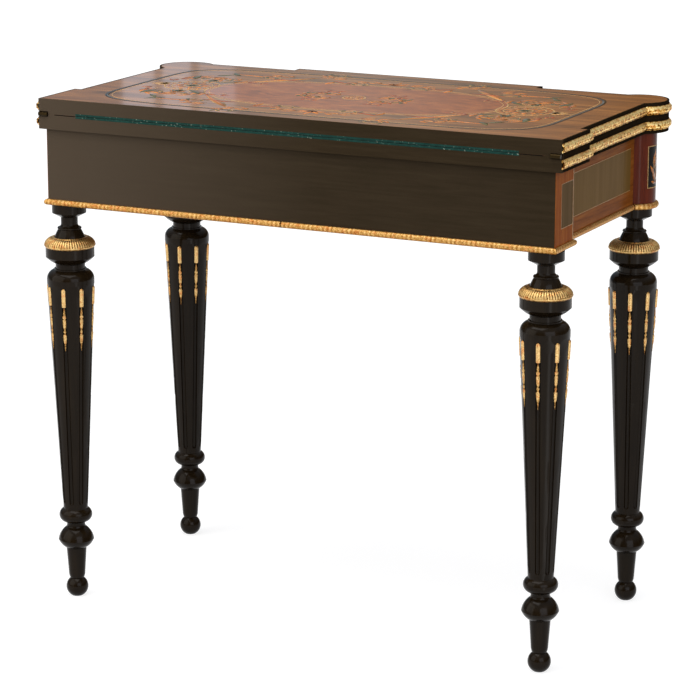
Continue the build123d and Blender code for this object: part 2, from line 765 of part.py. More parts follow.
# Felt slips on the rails, which carry the top and let it slide round
pad_places = []
for k in (-1, 1):
    pad_places.append((k * post_inner / 2, frieze_back - rail_thickness / 2, pad_length, pad_width))
    pad_places.append((k * post_inner / 2, front_outer + rail_thickness / 2, pad_length, pad_width))
    pad_places.append((k * (side_outer - rail_thickness / 2), (post_front + column_y) / 2,
                       pad_width, pad_length))
with BuildPart() as slip_pads:
    for x, y, length_x, length_y in pad_places:
        with Locations((x, y, frieze_top + pad_thickness / 2)):
            Box(length_x, length_y, pad_thickness)
finish(slip_pads.part, "slip_pads")


def moulding_section():
    """Section of the frieze moulding, a short flat and a half round, standing on the frieze's foot."""
    flat = max(moulding_projection - moulding_height / 2, 0)
    Polyline((flat, moulding_height), (0, moulding_height), (0, 0), (flat, 0))
    ThreePointArc((flat, 0), (moulding_projection, moulding_height / 2), (flat, moulding_height))


# Gilt moulding round the foot of the frieze. The back is two lengths that meet off the middle
for name, side in (("back_right_moulding", 1), ("back_left_moulding", -1)):
    joint = side * moulding_joint_x + moulding_joint_gap / 2
    back_edge = [((joint, frieze_back), (post_outer, frieze_back), None)] + frieze_edge[1:]
    back_length = lay_moulding(back_edge, [0], frieze_bottom, moulding_section)
    finish(back_length if side > 0 else mirror(back_length, about=Plane.YZ), name)

side_lengths = lay_moulding(frieze_edge, range(1, 4), frieze_bottom, moulding_section)
finish(side_lengths, "right_side_moulding")
finish(mirror(side_lengths, about=Plane.YZ), "left_side_moulding")

with BuildPart() as front_moulding:
    add(lay_moulding(frieze_edge, range(4, len(frieze_edge)), frieze_bottom, moulding_section))
    mirror(about=Plane.YZ)
finish(front_moulding.part, "front_moulding")

# Levels of the turned members, counted up the leg
ball_centre = ball_radius - ball_flat
ball_top = ball_centre + sqrt(ball_radius**2 - ankle_radius**2)
peg_top = ball_top + peg_height
low_bead_top = peg_top + low_bead_height
cove_top = low_bead_top + cove_height
shaft_bottom = cove_top + high_bead_height
throat_bottom = frieze_bottom - abacus_height - throat_flare - throat_height
bell_bottom = throat_bottom - bell_height
collar_bottom = bell_bottom - collar_height
disc_bottom = collar_bottom - disc_height
notch_top = disc_bottom - dish_height
notch_bottom = notch_top - notch_height
shaft_top = notch_bottom - shoulder_height - shaft_band_height
ball_flat_radius = sqrt(ball_radius**2 - ball_centre**2)
taper = (shaft_top_radius - shaft_foot_radius) / (shaft_top - shaft_bottom)
taper_angle = degrees(atan2(shaft_top_radius - shaft_foot_radius, shaft_top - shaft_bottom))


def bow(start, end, share_out, share_up):
    """An arc of the section, its middle given in shares of the steps in radius and in height."""
    middle = (start[0] + (end[0] - start[0]) * share_out, start[1] + (end[1] - start[1]) * share_up)
    ThreePointArc(start, middle, end)


def leg_half_section():
    """Half section of the turned leg: radius, then height."""
    ankle_top = ball_top + 4 * (peg_foot_radius - ankle_radius)
    low_bead_widest = (low_bead_radius, peg_top + low_bead_rise)
    shoulder_low = shaft_top + shaft_band_height
    shoulder_round_top = notch_bottom - shoulder_fillet
    waist = (bell_waist_radius, bell_bottom + bell_waist_height)
    bead_top = (bell_waist_radius - bell_bead_step / 2, waist[1] + bell_bead_height)
    neck_foot = (bead_top[0] - bell_bead_step, bead_top[1])
    flare_low = throat_bottom + throat_height

    Polyline((0, frieze_bottom + tenon_length), (0, 0), (ball_flat_radius, 0))
    ThreePointArc((ball_flat_radius, 0), (ball_radius, ball_centre), (ankle_radius, ball_top))
    bow((ankle_radius, ball_top), (peg_foot_radius, ankle_top), 0.75, 0.5)
    Line((peg_foot_radius, ankle_top), (peg_top_radius, peg_top))
    bow((peg_top_radius, peg_top), low_bead_widest, 0.6, 0.41)
    bow(low_bead_widest, (cove_lip_radius, low_bead_top), 0.27, 0.49)
    ThreePointArc((cove_lip_radius, low_bead_top), (cove_radius, low_bead_top + cove_height / 2),
                  (cove_lip_radius, cove_top))
    ThreePointArc((cove_lip_radius, cove_top), (high_bead_radius, cove_top + high_bead_height / 2),
                  (shaft_foot_radius, shaft_bottom))
    Polyline((shaft_foot_radius, shaft_bottom), (shaft_top_radius, shaft_top), (shaft_top_radius, shoulder_low))
    bow((shaft_top_radius, shoulder_low), (shoulder_radius, shoulder_round_top), 0.23, 0.54)
    Polyline((shoulder_radius, shoulder_round_top), (shoulder_radius, notch_bottom),
             (notch_radius, notch_bottom), (notch_radius, notch_top))
    bow((notch_radius, notch_top), (disc_radius, disc_bottom), 0.62, 0.52)
    Polyline((disc_radius, disc_bottom), (disc_radius, collar_bottom), (collar_seat_radius, collar_bottom),
             (collar_seat_radius, bell_bottom))
    bow((collar_seat_radius, bell_bottom), waist, 0.46, 0.52)
    ThreePointArc(waist, (bell_bead_radius, waist[1] + bell_bead_height / 2), bead_top)
    Line(bead_top, neck_foot)
    bow(neck_foot, (throat_radius, throat_bottom), 0.64, 0.4)
    Polyline((throat_radius, throat_bottom), (throat_radius, flare_low),
             (abacus_radius, flare_low + throat_flare), (abacus_radius, frieze_bottom),
             (tenon_radius, frieze_bottom), (tenon_radius, frieze_bottom + tenon_length),
             (0, frieze_bottom + tenon_length))


def shaft_radius(z):
    """Radius of the tapered shaft at a height."""
    return shaft_foot_radius + taper * (z - shaft_bottom)


def flute_planes(x, y, turn, z):
    """A plane on the shaft's face at a height for each flute, its Z up the slope of the shaft."""
    planes = []
    for k in range(flute_count):
        bearing = 90 + turn + 360 / flute_count * k
        out = Vector(*ring_point(1, bearing), 0)
        up = Vector(*ring_point(sin(radians(taper_angle)), bearing), cos(radians(taper_angle)))
        origin = Vector(x, y, z) + out * shaft_radius(z)
        planes.append(Plane(origin=origin, x_dir=up.cross(out), z_dir=up))
    return planes


leg_places = {
    "back_left": (-back_leg_x, back_leg_y),
    "back_right": (back_leg_x, back_leg_y),
    "front_left": (-column_x, column_y),
    "front_right": (column_x, column_y),
}
# The collar's crown passes a little outside the straight line from its rim to its top
collar_rim_level = collar_bottom + collar_foot_height
collar_crown = (collar_top_radius + (collar_radius - collar_top_radius) * collar_crown_shares[0],
                collar_rim_level + (bell_bottom - collar_rim_level) * collar_crown_shares[1])
flute_low = shaft_bottom + flute_foot
flute_high = shaft_top - flute_head
flute_length = (flute_high - flute_low) / cos(radians(taper_angle))
drop_level = flute_high + (flute_radius - drop_length) * cos(radians(taper_angle))

# One gilt drop, standing on its tip, turned and filed: a tip, two husks with a bead above each, and a
# neck under the rod. Its outline is in shares of the bead's radius and of the height below the rod
drop_outline_shares = [
    (0.39, 0.0), (0.39, 0.12), (0.61, 0.16), (0.85, 0.22), (0.7, 0.34), (0.9, 0.39), (0.61, 0.42),
    (0.61, 0.52), (0.9, 0.56), (0.8, 0.74), (1.0, 0.78), (0.61, 0.83), (0.42, 0.94),
]
rod_foot = drop_length - drop_rod_length
rod_shoulder = drop_length - drop_rod_radius
with BuildPart() as drop:
    with BuildSketch(Plane.XZ):
        with BuildLine():
            Polyline((0, drop_length), (0, 0),
                     *[(drop_bead_radius * r, rod_foot * h) for r, h in drop_outline_shares],
                     (drop_rod_radius, rod_foot), (drop_rod_radius, rod_shoulder))
            round_x, round_z = ring_point(drop_rod_radius, 45)
            ThreePointArc((drop_rod_radius, rod_shoulder), (round_x, rod_shoulder + round_z),
                          (0, drop_length))
        make_face()
    revolve(axis=Axis.Z)

# The cutter of one flute: a long rod with round ends
with BuildPart() as flute:
    with BuildSketch(Plane.XZ):
        with BuildLine():
            round_x, round_z = ring_point(flute_radius, 45)
            flute_end = flute_length / 2
            Line((0, -flute_end - flute_radius), (0, flute_end + flute_radius))
            ThreePointArc((0, flute_end + flute_radius), (round_x, flute_end + round_z), (flute_radius, flute_end))
            Line((flute_radius, flute_end), (flute_radius, -flute_end))
            ThreePointArc((flute_radius, -flute_end), (round_x, -flute_end - round_z),
                          (0, -flute_end - flute_radius))
        make_face()
    revolve(axis=Axis.Z)

for name, (x, y) in leg_places.items():
    turn = leg_turns[name]
    with BuildPart() as leg:
        with BuildSketch(Plane(origin=(x, y, 0), x_dir=(1, 0, 0), z_dir=(0, -1, 0))):
            with BuildLine():
                leg_half_section()
            make_face()
        revolve(axis=Axis((x, y, 0), (0, 0, 1)))
        with Locations(*flute_planes(x, y, turn, (flute_low + flute_high) / 2)):
            add(flute.part, mode=Mode.SUBTRACT)
    finish(leg.part, f"{name}_leg")

    with BuildPart() as drops:
        with Locations(*flute_planes(x, y, turn, drop_level)):
            add(drop.part)
    finish(drops.part, f"{name}_leg_mounts")

    with BuildPart() as collar:
        with BuildSketch(Plane(origin=(x, y, 0), x_dir=(1, 0, 0), z_dir=(0, -1, 0))):
            with BuildLine():
                Polyline((collar_top_radius, bell_bottom), (collar_seat_radius, bell_bottom),
                         (collar_seat_radius, collar_bottom), (disc_radius, collar_bottom),
                         (collar_radius, collar_rim_level))
                ThreePointArc((collar_radius, collar_rim_level), collar_crown,
                              (collar_top_radius, bell_bottom))
            make_face()
        revolve(axis=Axis((x, y, 0), (0, 0, 1)))
    finish(collar.part, f"{name}_leg_collar")
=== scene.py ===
import bmesh
import bpy
from math import atan2, ceil, cos, hypot, pi, radians, sin, sqrt
from mathutils import Matrix, Vector


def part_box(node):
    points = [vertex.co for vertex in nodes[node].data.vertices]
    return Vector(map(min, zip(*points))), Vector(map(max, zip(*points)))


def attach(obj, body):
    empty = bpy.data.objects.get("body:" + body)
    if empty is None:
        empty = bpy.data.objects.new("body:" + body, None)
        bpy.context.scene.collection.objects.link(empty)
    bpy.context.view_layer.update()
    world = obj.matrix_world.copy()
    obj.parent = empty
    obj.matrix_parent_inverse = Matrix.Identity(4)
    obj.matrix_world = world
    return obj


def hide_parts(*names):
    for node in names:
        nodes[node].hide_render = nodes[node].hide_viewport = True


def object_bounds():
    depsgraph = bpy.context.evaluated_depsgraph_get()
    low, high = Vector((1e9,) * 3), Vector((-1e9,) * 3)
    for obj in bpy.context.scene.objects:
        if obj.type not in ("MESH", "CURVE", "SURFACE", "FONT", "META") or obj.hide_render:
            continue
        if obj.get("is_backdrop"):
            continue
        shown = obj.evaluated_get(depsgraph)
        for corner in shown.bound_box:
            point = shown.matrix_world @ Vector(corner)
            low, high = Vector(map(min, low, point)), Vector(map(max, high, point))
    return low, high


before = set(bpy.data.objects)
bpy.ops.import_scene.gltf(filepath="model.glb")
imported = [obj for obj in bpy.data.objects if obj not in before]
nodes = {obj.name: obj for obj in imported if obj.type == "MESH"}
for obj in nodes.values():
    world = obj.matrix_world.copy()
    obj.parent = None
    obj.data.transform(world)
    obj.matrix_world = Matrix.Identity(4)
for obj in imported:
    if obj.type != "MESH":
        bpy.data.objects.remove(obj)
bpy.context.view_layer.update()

scene = bpy.context.scene


# Well, bearer and glue blocks
# The card well is a planed oak board on rubbed blocks, with an oak partition and the bearer of the
# pivot over it. Unpolished oak is matt, pale and straight in the grain, with long dark open pores.
def colour(code):
    """An sRGB hex colour as the linear colour that a shader reads."""
    parts = [int(code[i:i + 2], 16) / 255 for i in (1, 3, 5)]
    return tuple(c / 12.92 if c < 0.04045 else ((c + 0.055) / 1.055) ** 2.4 for c in parts) + (1.0,)


def add_node(tree, kind, settings=None, links=None, stops=()):
    """Add a node with its settings, its links to other nodes' outputs, and a colour ramp's stops."""
    node = tree.nodes.new(kind)
    for key, value in (settings or {}).items():
        if isinstance(key, str) and hasattr(node, key):
            setattr(node, key, value)
        else:
            node.inputs[key].default_value = value
    for key, socket in (links or {}).items():
        tree.links.new(socket, node.inputs[key])
    if stops:
        ramp = node.color_ramp.elements
        ramp.remove(ramp[1])
        ramp[0].position, ramp[0].color = stops[0]
        for position, tone in stops[1:]:
            ramp.new(position).color = tone
    return node


def new_material(name):
    """An empty material and its node tree."""
    material = bpy.data.materials.new(name)
    material.use_nodes = True
    material.node_tree.nodes.clear()
    return material, material.node_tree


def paint(material, *names):
    """Give CAD nodes a better material in place of their own."""
    for name in names:
        for material_slot in nodes[name].material_slots:
            material_slot.material = material


def paint_back_light(tree, place, shade, limit):
    """Painted shade on all faces but the back, and a painted grey brown sheen towards one end."""
    unlit_x, sheen_full_x, step, side_shade_tone = -0.05, 0.42, 0.001, 0.45
    split = add_node(tree, "ShaderNodeSeparateXYZ", {}, {"Vector": place})
    end = add_node(tree, "ShaderNodeMapRange", {"From Min": unlit_x, "From Max": sheen_full_x},
                   {"Value": split.outputs["X"]})
    back = add_node(tree, "ShaderNodeMapRange",
                    {"From Min": limit, "From Max": limit + step, "To Min": side_shade_tone},
                    {"Value": split.outputs["Y"]})
    sheened = add_node(tree, "ShaderNodeMix", {"data_type": "RGBA", 7: colour("#54493d")},
                     {0: end.outputs["Result"], 6: shade})
    sheened = add_node(tree, "ShaderNodeMix", {"data_type": "RGBA", "blend_type": "MULTIPLY", 0: 1.0},
                     {6: sheened.outputs[2], 7: back.outputs["Result"]})
    return sheened.outputs[2]


def timber(tree, place, wood):
    """Colour and surface height of a timber: soft figure across the grain, and long fine pores."""
    grain = Vector([wood["along"] if axis == wood["grain"] else wood["across"] for axis in "XYZ"])
    figure_scale = [1000 / size for size in grain]
    pore_scale = [1000 / size for size in grain * wood["pore"]]
    figure_place = add_node(tree, "ShaderNodeMapping", {"Scale": figure_scale}, {"Vector": place})
    figure = add_node(tree, "ShaderNodeTexNoise", {"Scale": 1.0, "Detail": 5.0, "Distortion": wood["twist"]},
                      {"Vector": figure_place.outputs[0]})
    ramp = add_node(tree, "ShaderNodeValToRGB", {}, {"Fac": figure.outputs["Fac"]},
                    [(at, colour(code)) for at, code in zip((0.3, 0.5, 0.72), wood["colours"])])
    pore_place = add_node(tree, "ShaderNodeMapping", {"Scale": pore_scale}, {"Vector": place})
    pores = add_node(tree, "ShaderNodeTexNoise", {"Scale": 1.0, "Detail": 2.0},
                     {"Vector": pore_place.outputs[0]})
    depth = add_node(tree, "ShaderNodeMapRange", {"From Min": 0.36, "From Max": 0.5, "To Min": wood["open"]},
                     {"Value": pores.outputs["Fac"]})
    shade = add_node(tree, "ShaderNodeMix", {"data_type": "RGBA", "blend_type": "MULTIPLY", 0: 1.0},
                     {6: ramp.outputs["Color"], 7: depth.outputs["Result"]})
    shade = shade.outputs[2]
    if "lit_back" in wood:
        shade = paint_back_light(tree, place, shade, wood["lit_back"])
    return shade, depth.outputs["Result"]


def wooden(name, wood, roughness, relief, other=None, where=None, other_roughness=0.6, shine=0.08):
    """A timber's material. Where a second timber is given, it shows outside the named zone."""
    material, tree = new_material(name)
    place = add_node(tree, "ShaderNodeTexCoord").outputs["Object"]
    shade, height = timber(tree, place, wood)
    surface = add_node(tree, "ShaderNodeBsdfPrincipled",
                       {"Roughness": roughness, "Specular IOR Level": shine})
    if other:
        axis, limit, side = where
        split = add_node(tree, "ShaderNodeSeparateXYZ", {}, {"Vector": place}).outputs[axis]
        if axis == "X":
            split = add_node(tree, "ShaderNodeMath", {"operation": "ABSOLUTE"}, {0: split}).outputs[0]
        zone = add_node(tree, "ShaderNodeMath", {"operation": side, 1: limit}, {0: split}).outputs[0]
        shade = add_node(tree, "ShaderNodeMix", {"data_type": "RGBA"},
                         {0: zone, 6: timber(tree, place, other)[0], 7: shade}).outputs[2]
        gloss = add_node(tree, "ShaderNodeMapRange", {"To Min": other_roughness, "To Max": roughness},
                         {"Value": zone})
        tree.links.new(gloss.outputs["Result"], surface.inputs["Roughness"])
    bump = add_node(tree, "ShaderNodeBump", {"Strength": relief, "Distance": 0.0002}, {"Height": height})
    tree.links.new(bump.outputs["Normal"], surface.inputs["Normal"])
    tree.links.new(shade, surface.inputs["Base Color"])
    add_node(tree, "ShaderNodeOutputMaterial", {}, {"Surface": surface.outputs[0]})
    return material


oak = {"colours": ("#8a6a42", "#a5845a", "#b99a70"), "grain": "X", "across": 9.0, "along": 160.0,
       "pore": 0.11, "open": 0.62, "twist": 0.4}
oak_bearer = {**oak, "grain": "Y"}
paint(wooden("planed_oak", oak, 0.62, 0.5), "well_bottom", "glue_blocks")
paint(wooden("planed_oak_bearer", oak_bearer, 0.62, 0.5), "pivot_bearer", "well_partition")

# Back rail, back posts and legs
# These are fruitwood, turned or planed, stained black and French polished. Ebonised wood shows a
# brown black with hardly any grain under a clear gloss; the inner faces are left as plain oak.
ebonised = {"colours": ("#1a1209", "#1e160c", "#231a0f"), "grain": "Z", "across": 6.0, "along": 90.0,
            "pore": 0.14, "open": 0.94, "twist": 0.3}
stain_depth = 0.0005
back_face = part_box("back_rail")[1].y - stain_depth
# Ebonised boards take painted shade on all faces but the back, and a painted sheen towards one end
ebonised_board = {**ebonised, "grain": "X", "colours": ("#342b1e", "#382e21", "#3c3224"),
                  "lit_back": back_face - 3 * stain_depth}
paint(wooden("ebonised_back_rail", ebonised_board, 0.2, 0.1, oak, ("Y", back_face, "GREATER_THAN"),
             shine=0.02), "back_rail")
legs = [f"{pair}_{side}_leg" for pair in ("back", "front") for side in ("left", "right")]
paint(wooden("ebonised_turned_leg", ebonised, 0.15, 0.03, shine=0.1), *legs)

# Side rails and posts
# The ends of the frieze are veneered in red brown rosewood round the inlaid panels, French polished.
# The posts turn the corner: their back faces are ebonised with the rail between them.
rosewood = {"colours": ("#7a431a", "#915320", "#a46428"), "grain": "Y", "across": 7.0, "along": 120.0,
            "pore": 0.12, "open": 0.8, "twist": 0.5}
post_wood = {**rosewood, "grain": "Z", "colours": ("#8a430e", "#9c5214", "#ac621e")}
veneer_depth, column_stands_out = 0.0005, 0.014
side_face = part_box("right_side_rail")[1].x - veneer_depth
post_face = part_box("back_right_post")[1].x - veneer_depth
paint(wooden("rosewood_side_rail", rosewood, 0.2, 0.1, oak, ("X", side_face, "GREATER_THAN"), shine=0.01),
      "left_side_rail", "right_side_rail")
paint(wooden("rosewood_post", post_wood, 0.2, 0.1, ebonised_board, ("X", post_face, "GREATER_THAN"),
             0.2, 0.01), "back_left_post", "back_right_post")
front_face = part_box("front_left_column")[0].y + column_stands_out + veneer_depth
front_wood = {**rosewood, "grain": "X"}
paint(wooden("rosewood_front_rail", front_wood, 0.2, 0.15, oak, ("Y", front_face, "LESS_THAN")),
      "front_rail")

# Corner columns
# Each front corner is a quarter column of mahogany, turned and French polished. Polished mahogany is
# a deep even red brown with fine short pores, and takes one long highlight down its curve.
mahogany = {"colours": ("#521a06", "#632208", "#762b0c"), "grain": "Z", "across": 8.0, "along": 110.0,
            "pore": 0.1, "open": 0.82, "twist": 0.4}
paint(wooden("polished_mahogany", mahogany, 0.1, 0.03, shine=0.1), "front_left_column", "front_right_column")

# Frieze panels
# Panels of dark figured veneer are let in flush, each inside a line of boxwood stringing. Those of
# the columns and the front tablet are ebony, inlaid with foliage in stained woods.
panel_wood = {"colours": ("#725529", "#775a2d", "#7d5f32"), "grain": "Z", "across": 10.0, "along": 150.0,
              "pore": 0.1, "open": 0.95, "twist": 0.5}
ebony = {"colours": ("#0f0c08", "#15110c", "#1b1610"), "grain": "Z", "across": 5.0, "along": 60.0,
         "pore": 0.15, "open": 0.85, "twist": 0.2}
paint(wooden("dark_panel_veneer", panel_wood, 0.18, 0.03, shine=0.01), "left_side_panel", "right_side_panel")
post_panel_wood = {**panel_wood, "colours": ("#5c441f", "#624924", "#684e29")}
paint(wooden("post_panel_veneer", post_panel_wood, 0.18, 0.03, shine=0.01), "post_panels")
paint(wooden("ebony_panel", ebony, 0.15, 0.05), "column_panels")
tablet_depth = 0.004
tablet_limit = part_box("front_panels")[0].y + tablet_depth
paint(wooden("front_panel_veneer", ebony, 0.15, 0.05, panel_wood, ("Y", tablet_limit, "LESS_THAN"),
             0.18, 0.03), "front_panels")


def veneer(name, codes, roughness=0.2, shaded=False, shine=0.08):
    """A thin stained veneer: fine streaks of tone, and darker at the foot of a leaf shaded in hot sand."""
    material, tree = new_material(name)
    place = add_node(tree, "ShaderNodeTexCoord").outputs["Object"]
    streak_scale = [1000 / size for size in (2.0, 5.56, 4.0)]
    streak_place = add_node(tree, "ShaderNodeMapping", {"Scale": streak_scale}, {"Vector": place})
    streaks = add_node(tree, "ShaderNodeTexNoise", {"Scale": 1.0, "Detail": 3.0},
                       {"Vector": streak_place.outputs[0]})
    ramp = add_node(tree, "ShaderNodeValToRGB", {}, {"Fac": streaks.outputs["Fac"]},
                    [(0.3, colour(codes[0])), (0.7, colour(codes[1]))])
    tone = ramp.outputs["Color"]
    if shaded:
        along = add_node(tree, "ShaderNodeAttribute", {"attribute_name": "along"})
        scorch = add_node(tree, "ShaderNodeMapRange", {"From Max": 0.55, "To Min": 0.35},
                          {"Value": along.outputs["Fac"]})
        tone = add_node(tree, "ShaderNodeMix", {"data_type": "RGBA", "blend_type": "MULTIPLY", 0: 1.0},
                        {6: tone, 7: scorch.outputs["Result"]}).outputs[2]
    surface = add_node(tree, "ShaderNodeBsdfPrincipled",
                       {"Roughness": roughness, "Specular IOR Level": shine}, {"Base Color": tone})
    add_node(tree, "ShaderNodeOutputMaterial", {}, {"Surface": surface.outputs[0]})
    return material


boxwood = veneer("boxwood_line", ("#b98e57", "#d2ab72"))
aged_line = veneer("aged_boxwood_line", ("#a4774a", "#c2965f"))
top_polish, top_shine = 0.085, 0.3
orange_wood = veneer("stained_satinwood", ("#b86424", "#dc8a3c"), top_polish, True, top_shine)
red_wood = veneer("stained_tulipwood", ("#963c14", "#b85824"), top_polish, True, top_shine)
green_wood = veneer("stained_sycamore", ("#4e4c28", "#68633a"), top_polish, True, top_shine)
pale_wood = veneer("boxwood_leaf", ("#c08a4c", "#dcaa68"), top_polish, True, top_shine)


def geometry_tree(name, inputs):
    """An empty Geometry Nodes tree with a geometry input and output and named inputs."""
    tree = bpy.data.node_groups.new(name, "GeometryNodeTree")
    tree.interface.new_socket("Geometry", in_out="INPUT", socket_type="NodeSocketGeometry")
    tree.interface.new_socket("Geometry", in_out="OUTPUT", socket_type="NodeSocketGeometry")
    for label, kind in inputs:
        tree.interface.new_socket(label, in_out="INPUT", socket_type=kind)
    return tree, tree.nodes.new("NodeGroupInput"), tree.nodes.new("NodeGroupOutput")


def realise(name, data, tree, values):
    """Run a tree on a mesh or curve and keep the result as a plain mesh object."""
    carrier = bpy.data.objects.new(name + "_carrier", data)
    scene.collection.objects.link(carrier)
    modifier = carrier.modifiers.new(tree.name, "NODES")
    modifier.node_group = tree
    for item in tree.interface.items_tree:
        if item.in_out == "INPUT" and item.name in values:
            modifier[item.identifier] = values[item.name]
    graph = bpy.context.evaluated_depsgraph_get()
    mesh = bpy.data.meshes.new_from_object(carrier.evaluated_get(graph))
    bpy.data.objects.remove(carrier)
    piece = bpy.data.objects.new(name, mesh)
    scene.collection.objects.link(piece)
    return piece


# A line of stringing or a cut leaf is a flat strip along a path, whose radius is its width in mm
inlay_tree, ins, outs = geometry_tree("inlay_strip", [
    ("Unit width", "NodeSocketFloat"), ("Thickness", "NodeSocketFloat"), ("Veneer", "NodeSocketMaterial")])
along = add_node(inlay_tree, "GeometryNodeSplineParameter").outputs["Factor"]
path = add_node(inlay_tree, "GeometryNodeStoreNamedAttribute",
                {"data_type": "FLOAT", "domain": "POINT", "Name": "along"},
                {"Geometry": ins.outputs["Geometry"], "Value": along})
path = add_node(inlay_tree, "GeometryNodeSetCurveNormal", {"mode": "Z_UP"}, {"Curve": path.outputs[0]})
section = add_node(inlay_tree, "GeometryNodeCurvePrimitiveQuadrilateral", {},
                   {"Width": ins.outputs["Unit width"], "Height": ins.outputs["Thickness"]})
width = add_node(inlay_tree, "GeometryNodeInputRadius").outputs[0]
strip = add_node(inlay_tree, "GeometryNodeCurveToMesh", {"Fill Caps": True},
                 {"Curve": path.outputs[0], "Profile Curve": section.outputs["Curve"], "Scale": width})
place = add_node(inlay_tree, "GeometryNodeInputPosition").outputs[0]
place = add_node(inlay_tree, "ShaderNodeSeparateXYZ", {}, {0: place})
face = add_node(inlay_tree, "ShaderNodeMath", {"operation": "SIGN"}, {0: place.outputs["Z"]})
level = add_node(inlay_tree, "ShaderNodeMath", {"operation": "MULTIPLY"},
                 {0: face.outputs[0], 1: ins.outputs["Thickness"]})
flat = add_node(inlay_tree, "ShaderNodeCombineXYZ", {},
                {0: place.outputs["X"], 1: place.outputs["Y"], 2: level.outputs[0]})
strip = add_node(inlay_tree, "GeometryNodeSetPosition", {},
                 {"Geometry": strip.outputs[0], "Position": flat.outputs[0]})
strip = add_node(inlay_tree, "GeometryNodeRealizeInstances", {}, {0: strip.outputs[0]})
strip = add_node(inlay_tree, "GeometryNodeSetMaterial", {},
                 {"Geometry": strip.outputs[0], "Material": ins.outputs["Veneer"]})
inlay_tree.links.new(strip.outputs[0], outs.inputs["Geometry"])


def inlay(name, strips, wood, surfaces, thickness=0.08):
    """Cut strips in one veneer and lay them on one surface or more. Sizes are in millimetres."""
    curve = bpy.data.curves.new(name, "CURVE")
    curve.dimensions = "3D"
    for points, widths, closed in strips:
        spline = curve.splines.new("POLY")
        spline.points.add(len(points) - 1)
        for point, (x, y), w in zip(spline.points, points, widths):
            point.co = (x / 1000, y / 1000, 0, 1)
            point.radius = w
        spline.use_cyclic_u = closed
    piece = realise(name, curve, inlay_tree,
                    {"Unit width": 0.001, "Thickness": thickness / 1000, "Veneer": wood})
    shape = bmesh.new()
    for surface in surfaces:
        laid = piece.data.copy()
        for vertex in laid.vertices:
            vertex.co = surface(*vertex.co)
        shape.from_mesh(laid)
        bpy.data.meshes.remove(laid)
    bmesh.ops.recalc_face_normals(shape, faces=shape.faces)
    shape.to_mesh(piece.data)
    shape.free()
    return piece


def frame_line(u0, v0, u1, v1, line_width, step=4.0):
    """A rectangular line of stringing, mitred at its corners."""
    points, widths = [], []
    corners = [(u0, v0), (u1, v0), (u1, v1), (u0, v1)]
    for (a, b), (c, d) in zip(corners, corners[1:] + corners[:1]):
        count = max(1, int(hypot(c - a, d - b) / step))
        for k in range(count):
            points.append((a + (c - a) * k / count, b + (d - b) * k / count))
            widths.append(line_width * (sqrt(2) if k == 0 else 1))
    return points, widths, True


def scroll(x, y, heading, length, bend_start, bend_end, thick_start=1.0, thick_end=1.0, steps=26):
    """A scroll whose bend, in degrees per millimetre, and width change evenly along it."""
    points, widths = [(x, y)], [thick_start]
    for k in range(steps):
        share = (k + 0.5) / steps
        heading += (bend_start + (bend_end - bend_start) * share) * length / steps
        x += cos(radians(heading)) * length / steps
        y += sin(radians(heading)) * length / steps
        points.append((x, y))
        widths.append(thick_start + (thick_end - thick_start) * (k + 1) / steps)
    return points, widths, False


def leaf(x, y, heading, length, breadth, bend=0.0, steps=9):
    """A pointed leaf along a bent rib, widest a little below its middle."""
    points = scroll(x, y, heading, length, bend, bend * 1.6, steps=steps)[0]
    widths = [max(breadth * sin(pi * (k / steps) ** 0.75), 0.15) for k in range(steps + 1)]
    return points, widths, False


def ring(x, y, radius, line_width, steps=28):
    """A closed ring of stringing."""
    turns = [2 * pi * k / steps for k in range(steps)]
    return [(x + radius * cos(t), y + radius * sin(t)) for t in turns], [line_width] * steps, True


def petals(x, y, near, far, breadth, count, first=0.0):
    """Leaves set round a centre."""
    found = []
    for k in range(count):
        turn = first + 360 * k / count
        c, s = cos(radians(turn)), sin(radians(turn))
        found.append(leaf(x + near * c, y + near * s, turn, far - near, breadth, steps=7))
    return found


def sprigs(stem, first, last, count, length, breadth, lean=42.0):
    """Leaves that leave a scroll on both sides, leaning forward along it and shrinking."""
    points, found = stem[0], []
    for k in range(count):
        share = first + (last - first) * k / max(count - 1, 1)
        spot = min(int(share * (len(points) - 1)), len(points) - 2)
        (x, y), (x2, y2) = points[spot], points[spot + 1]
        heading = atan2(y2 - y, x2 - x) * 180 / pi
        size = 1 - 0.35 * k / count
        for hand in (1, -1):
            found.append(leaf(x, y, heading + hand * lean, length * size, breadth * size, -hand * 1.6))
    return found


def on_end(sign, face):
    """The upright face at one end of the table: u runs along y and v up."""
    return lambda u, v, w: (sign * (face + w), u, v)


def on_front(face):
    """An upright face of the front: u runs along x and v up."""
    return lambda u, v, w: (u, face - w, v)


def on_column(x, y, radius, bearing):
    """The round face of a column: u runs round it from a bearing, and v up."""
    def laid(u, v, w):
        turn = radians(bearing) + u / radius
        return (x + (radius + w) * cos(turn), y + (radius + w) * sin(turn), v)
    return laid


def millimetres(node):
    """A node's lowest and highest corner in millimetres."""
    low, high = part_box(node)
    return low * 1000, high * 1000


def part_of_frame(piece):
    """A piece that stays with the frame."""
    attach(piece, "frame")


# Stringing round the panels of the two ends, and along the arris of each post a pale line that is a painted
# highlight
side_low, side_high = millimetres("right_side_panel")
post_low, post_high = millimetres("post_panels")
rail_outer = millimetres("right_side_rail")[1].x
post_box_low, post_box_high = millimetres("back_right_post")
foot, head = side_low.z, side_high.z
rail_ends = [on_end(s, rail_outer / 1000) for s in (-1, 1)]
post_ends = [on_end(s, post_box_high.x / 1000) for s in (-1, 1)]
end_lines = [([(side_low.y, level), (side_high.y, level)], [1.1] * 2, False) for level in (foot, head)]
part_of_frame(inlay("side_panel_lines", end_lines, aged_line, rail_ends))
# The pale line at the arris is a painted highlight on the post's rounded edge
arris = post_box_low.y + 1.25
part_of_frame(inlay("post_panel_lines", [
    frame_line(post_low.y, foot, post_high.y, head, 0.9),
    ([(arris, post_box_low.z + 9), (arris, post_box_high.z)], [2.2] * 2, False)],
    aged_line, post_ends))

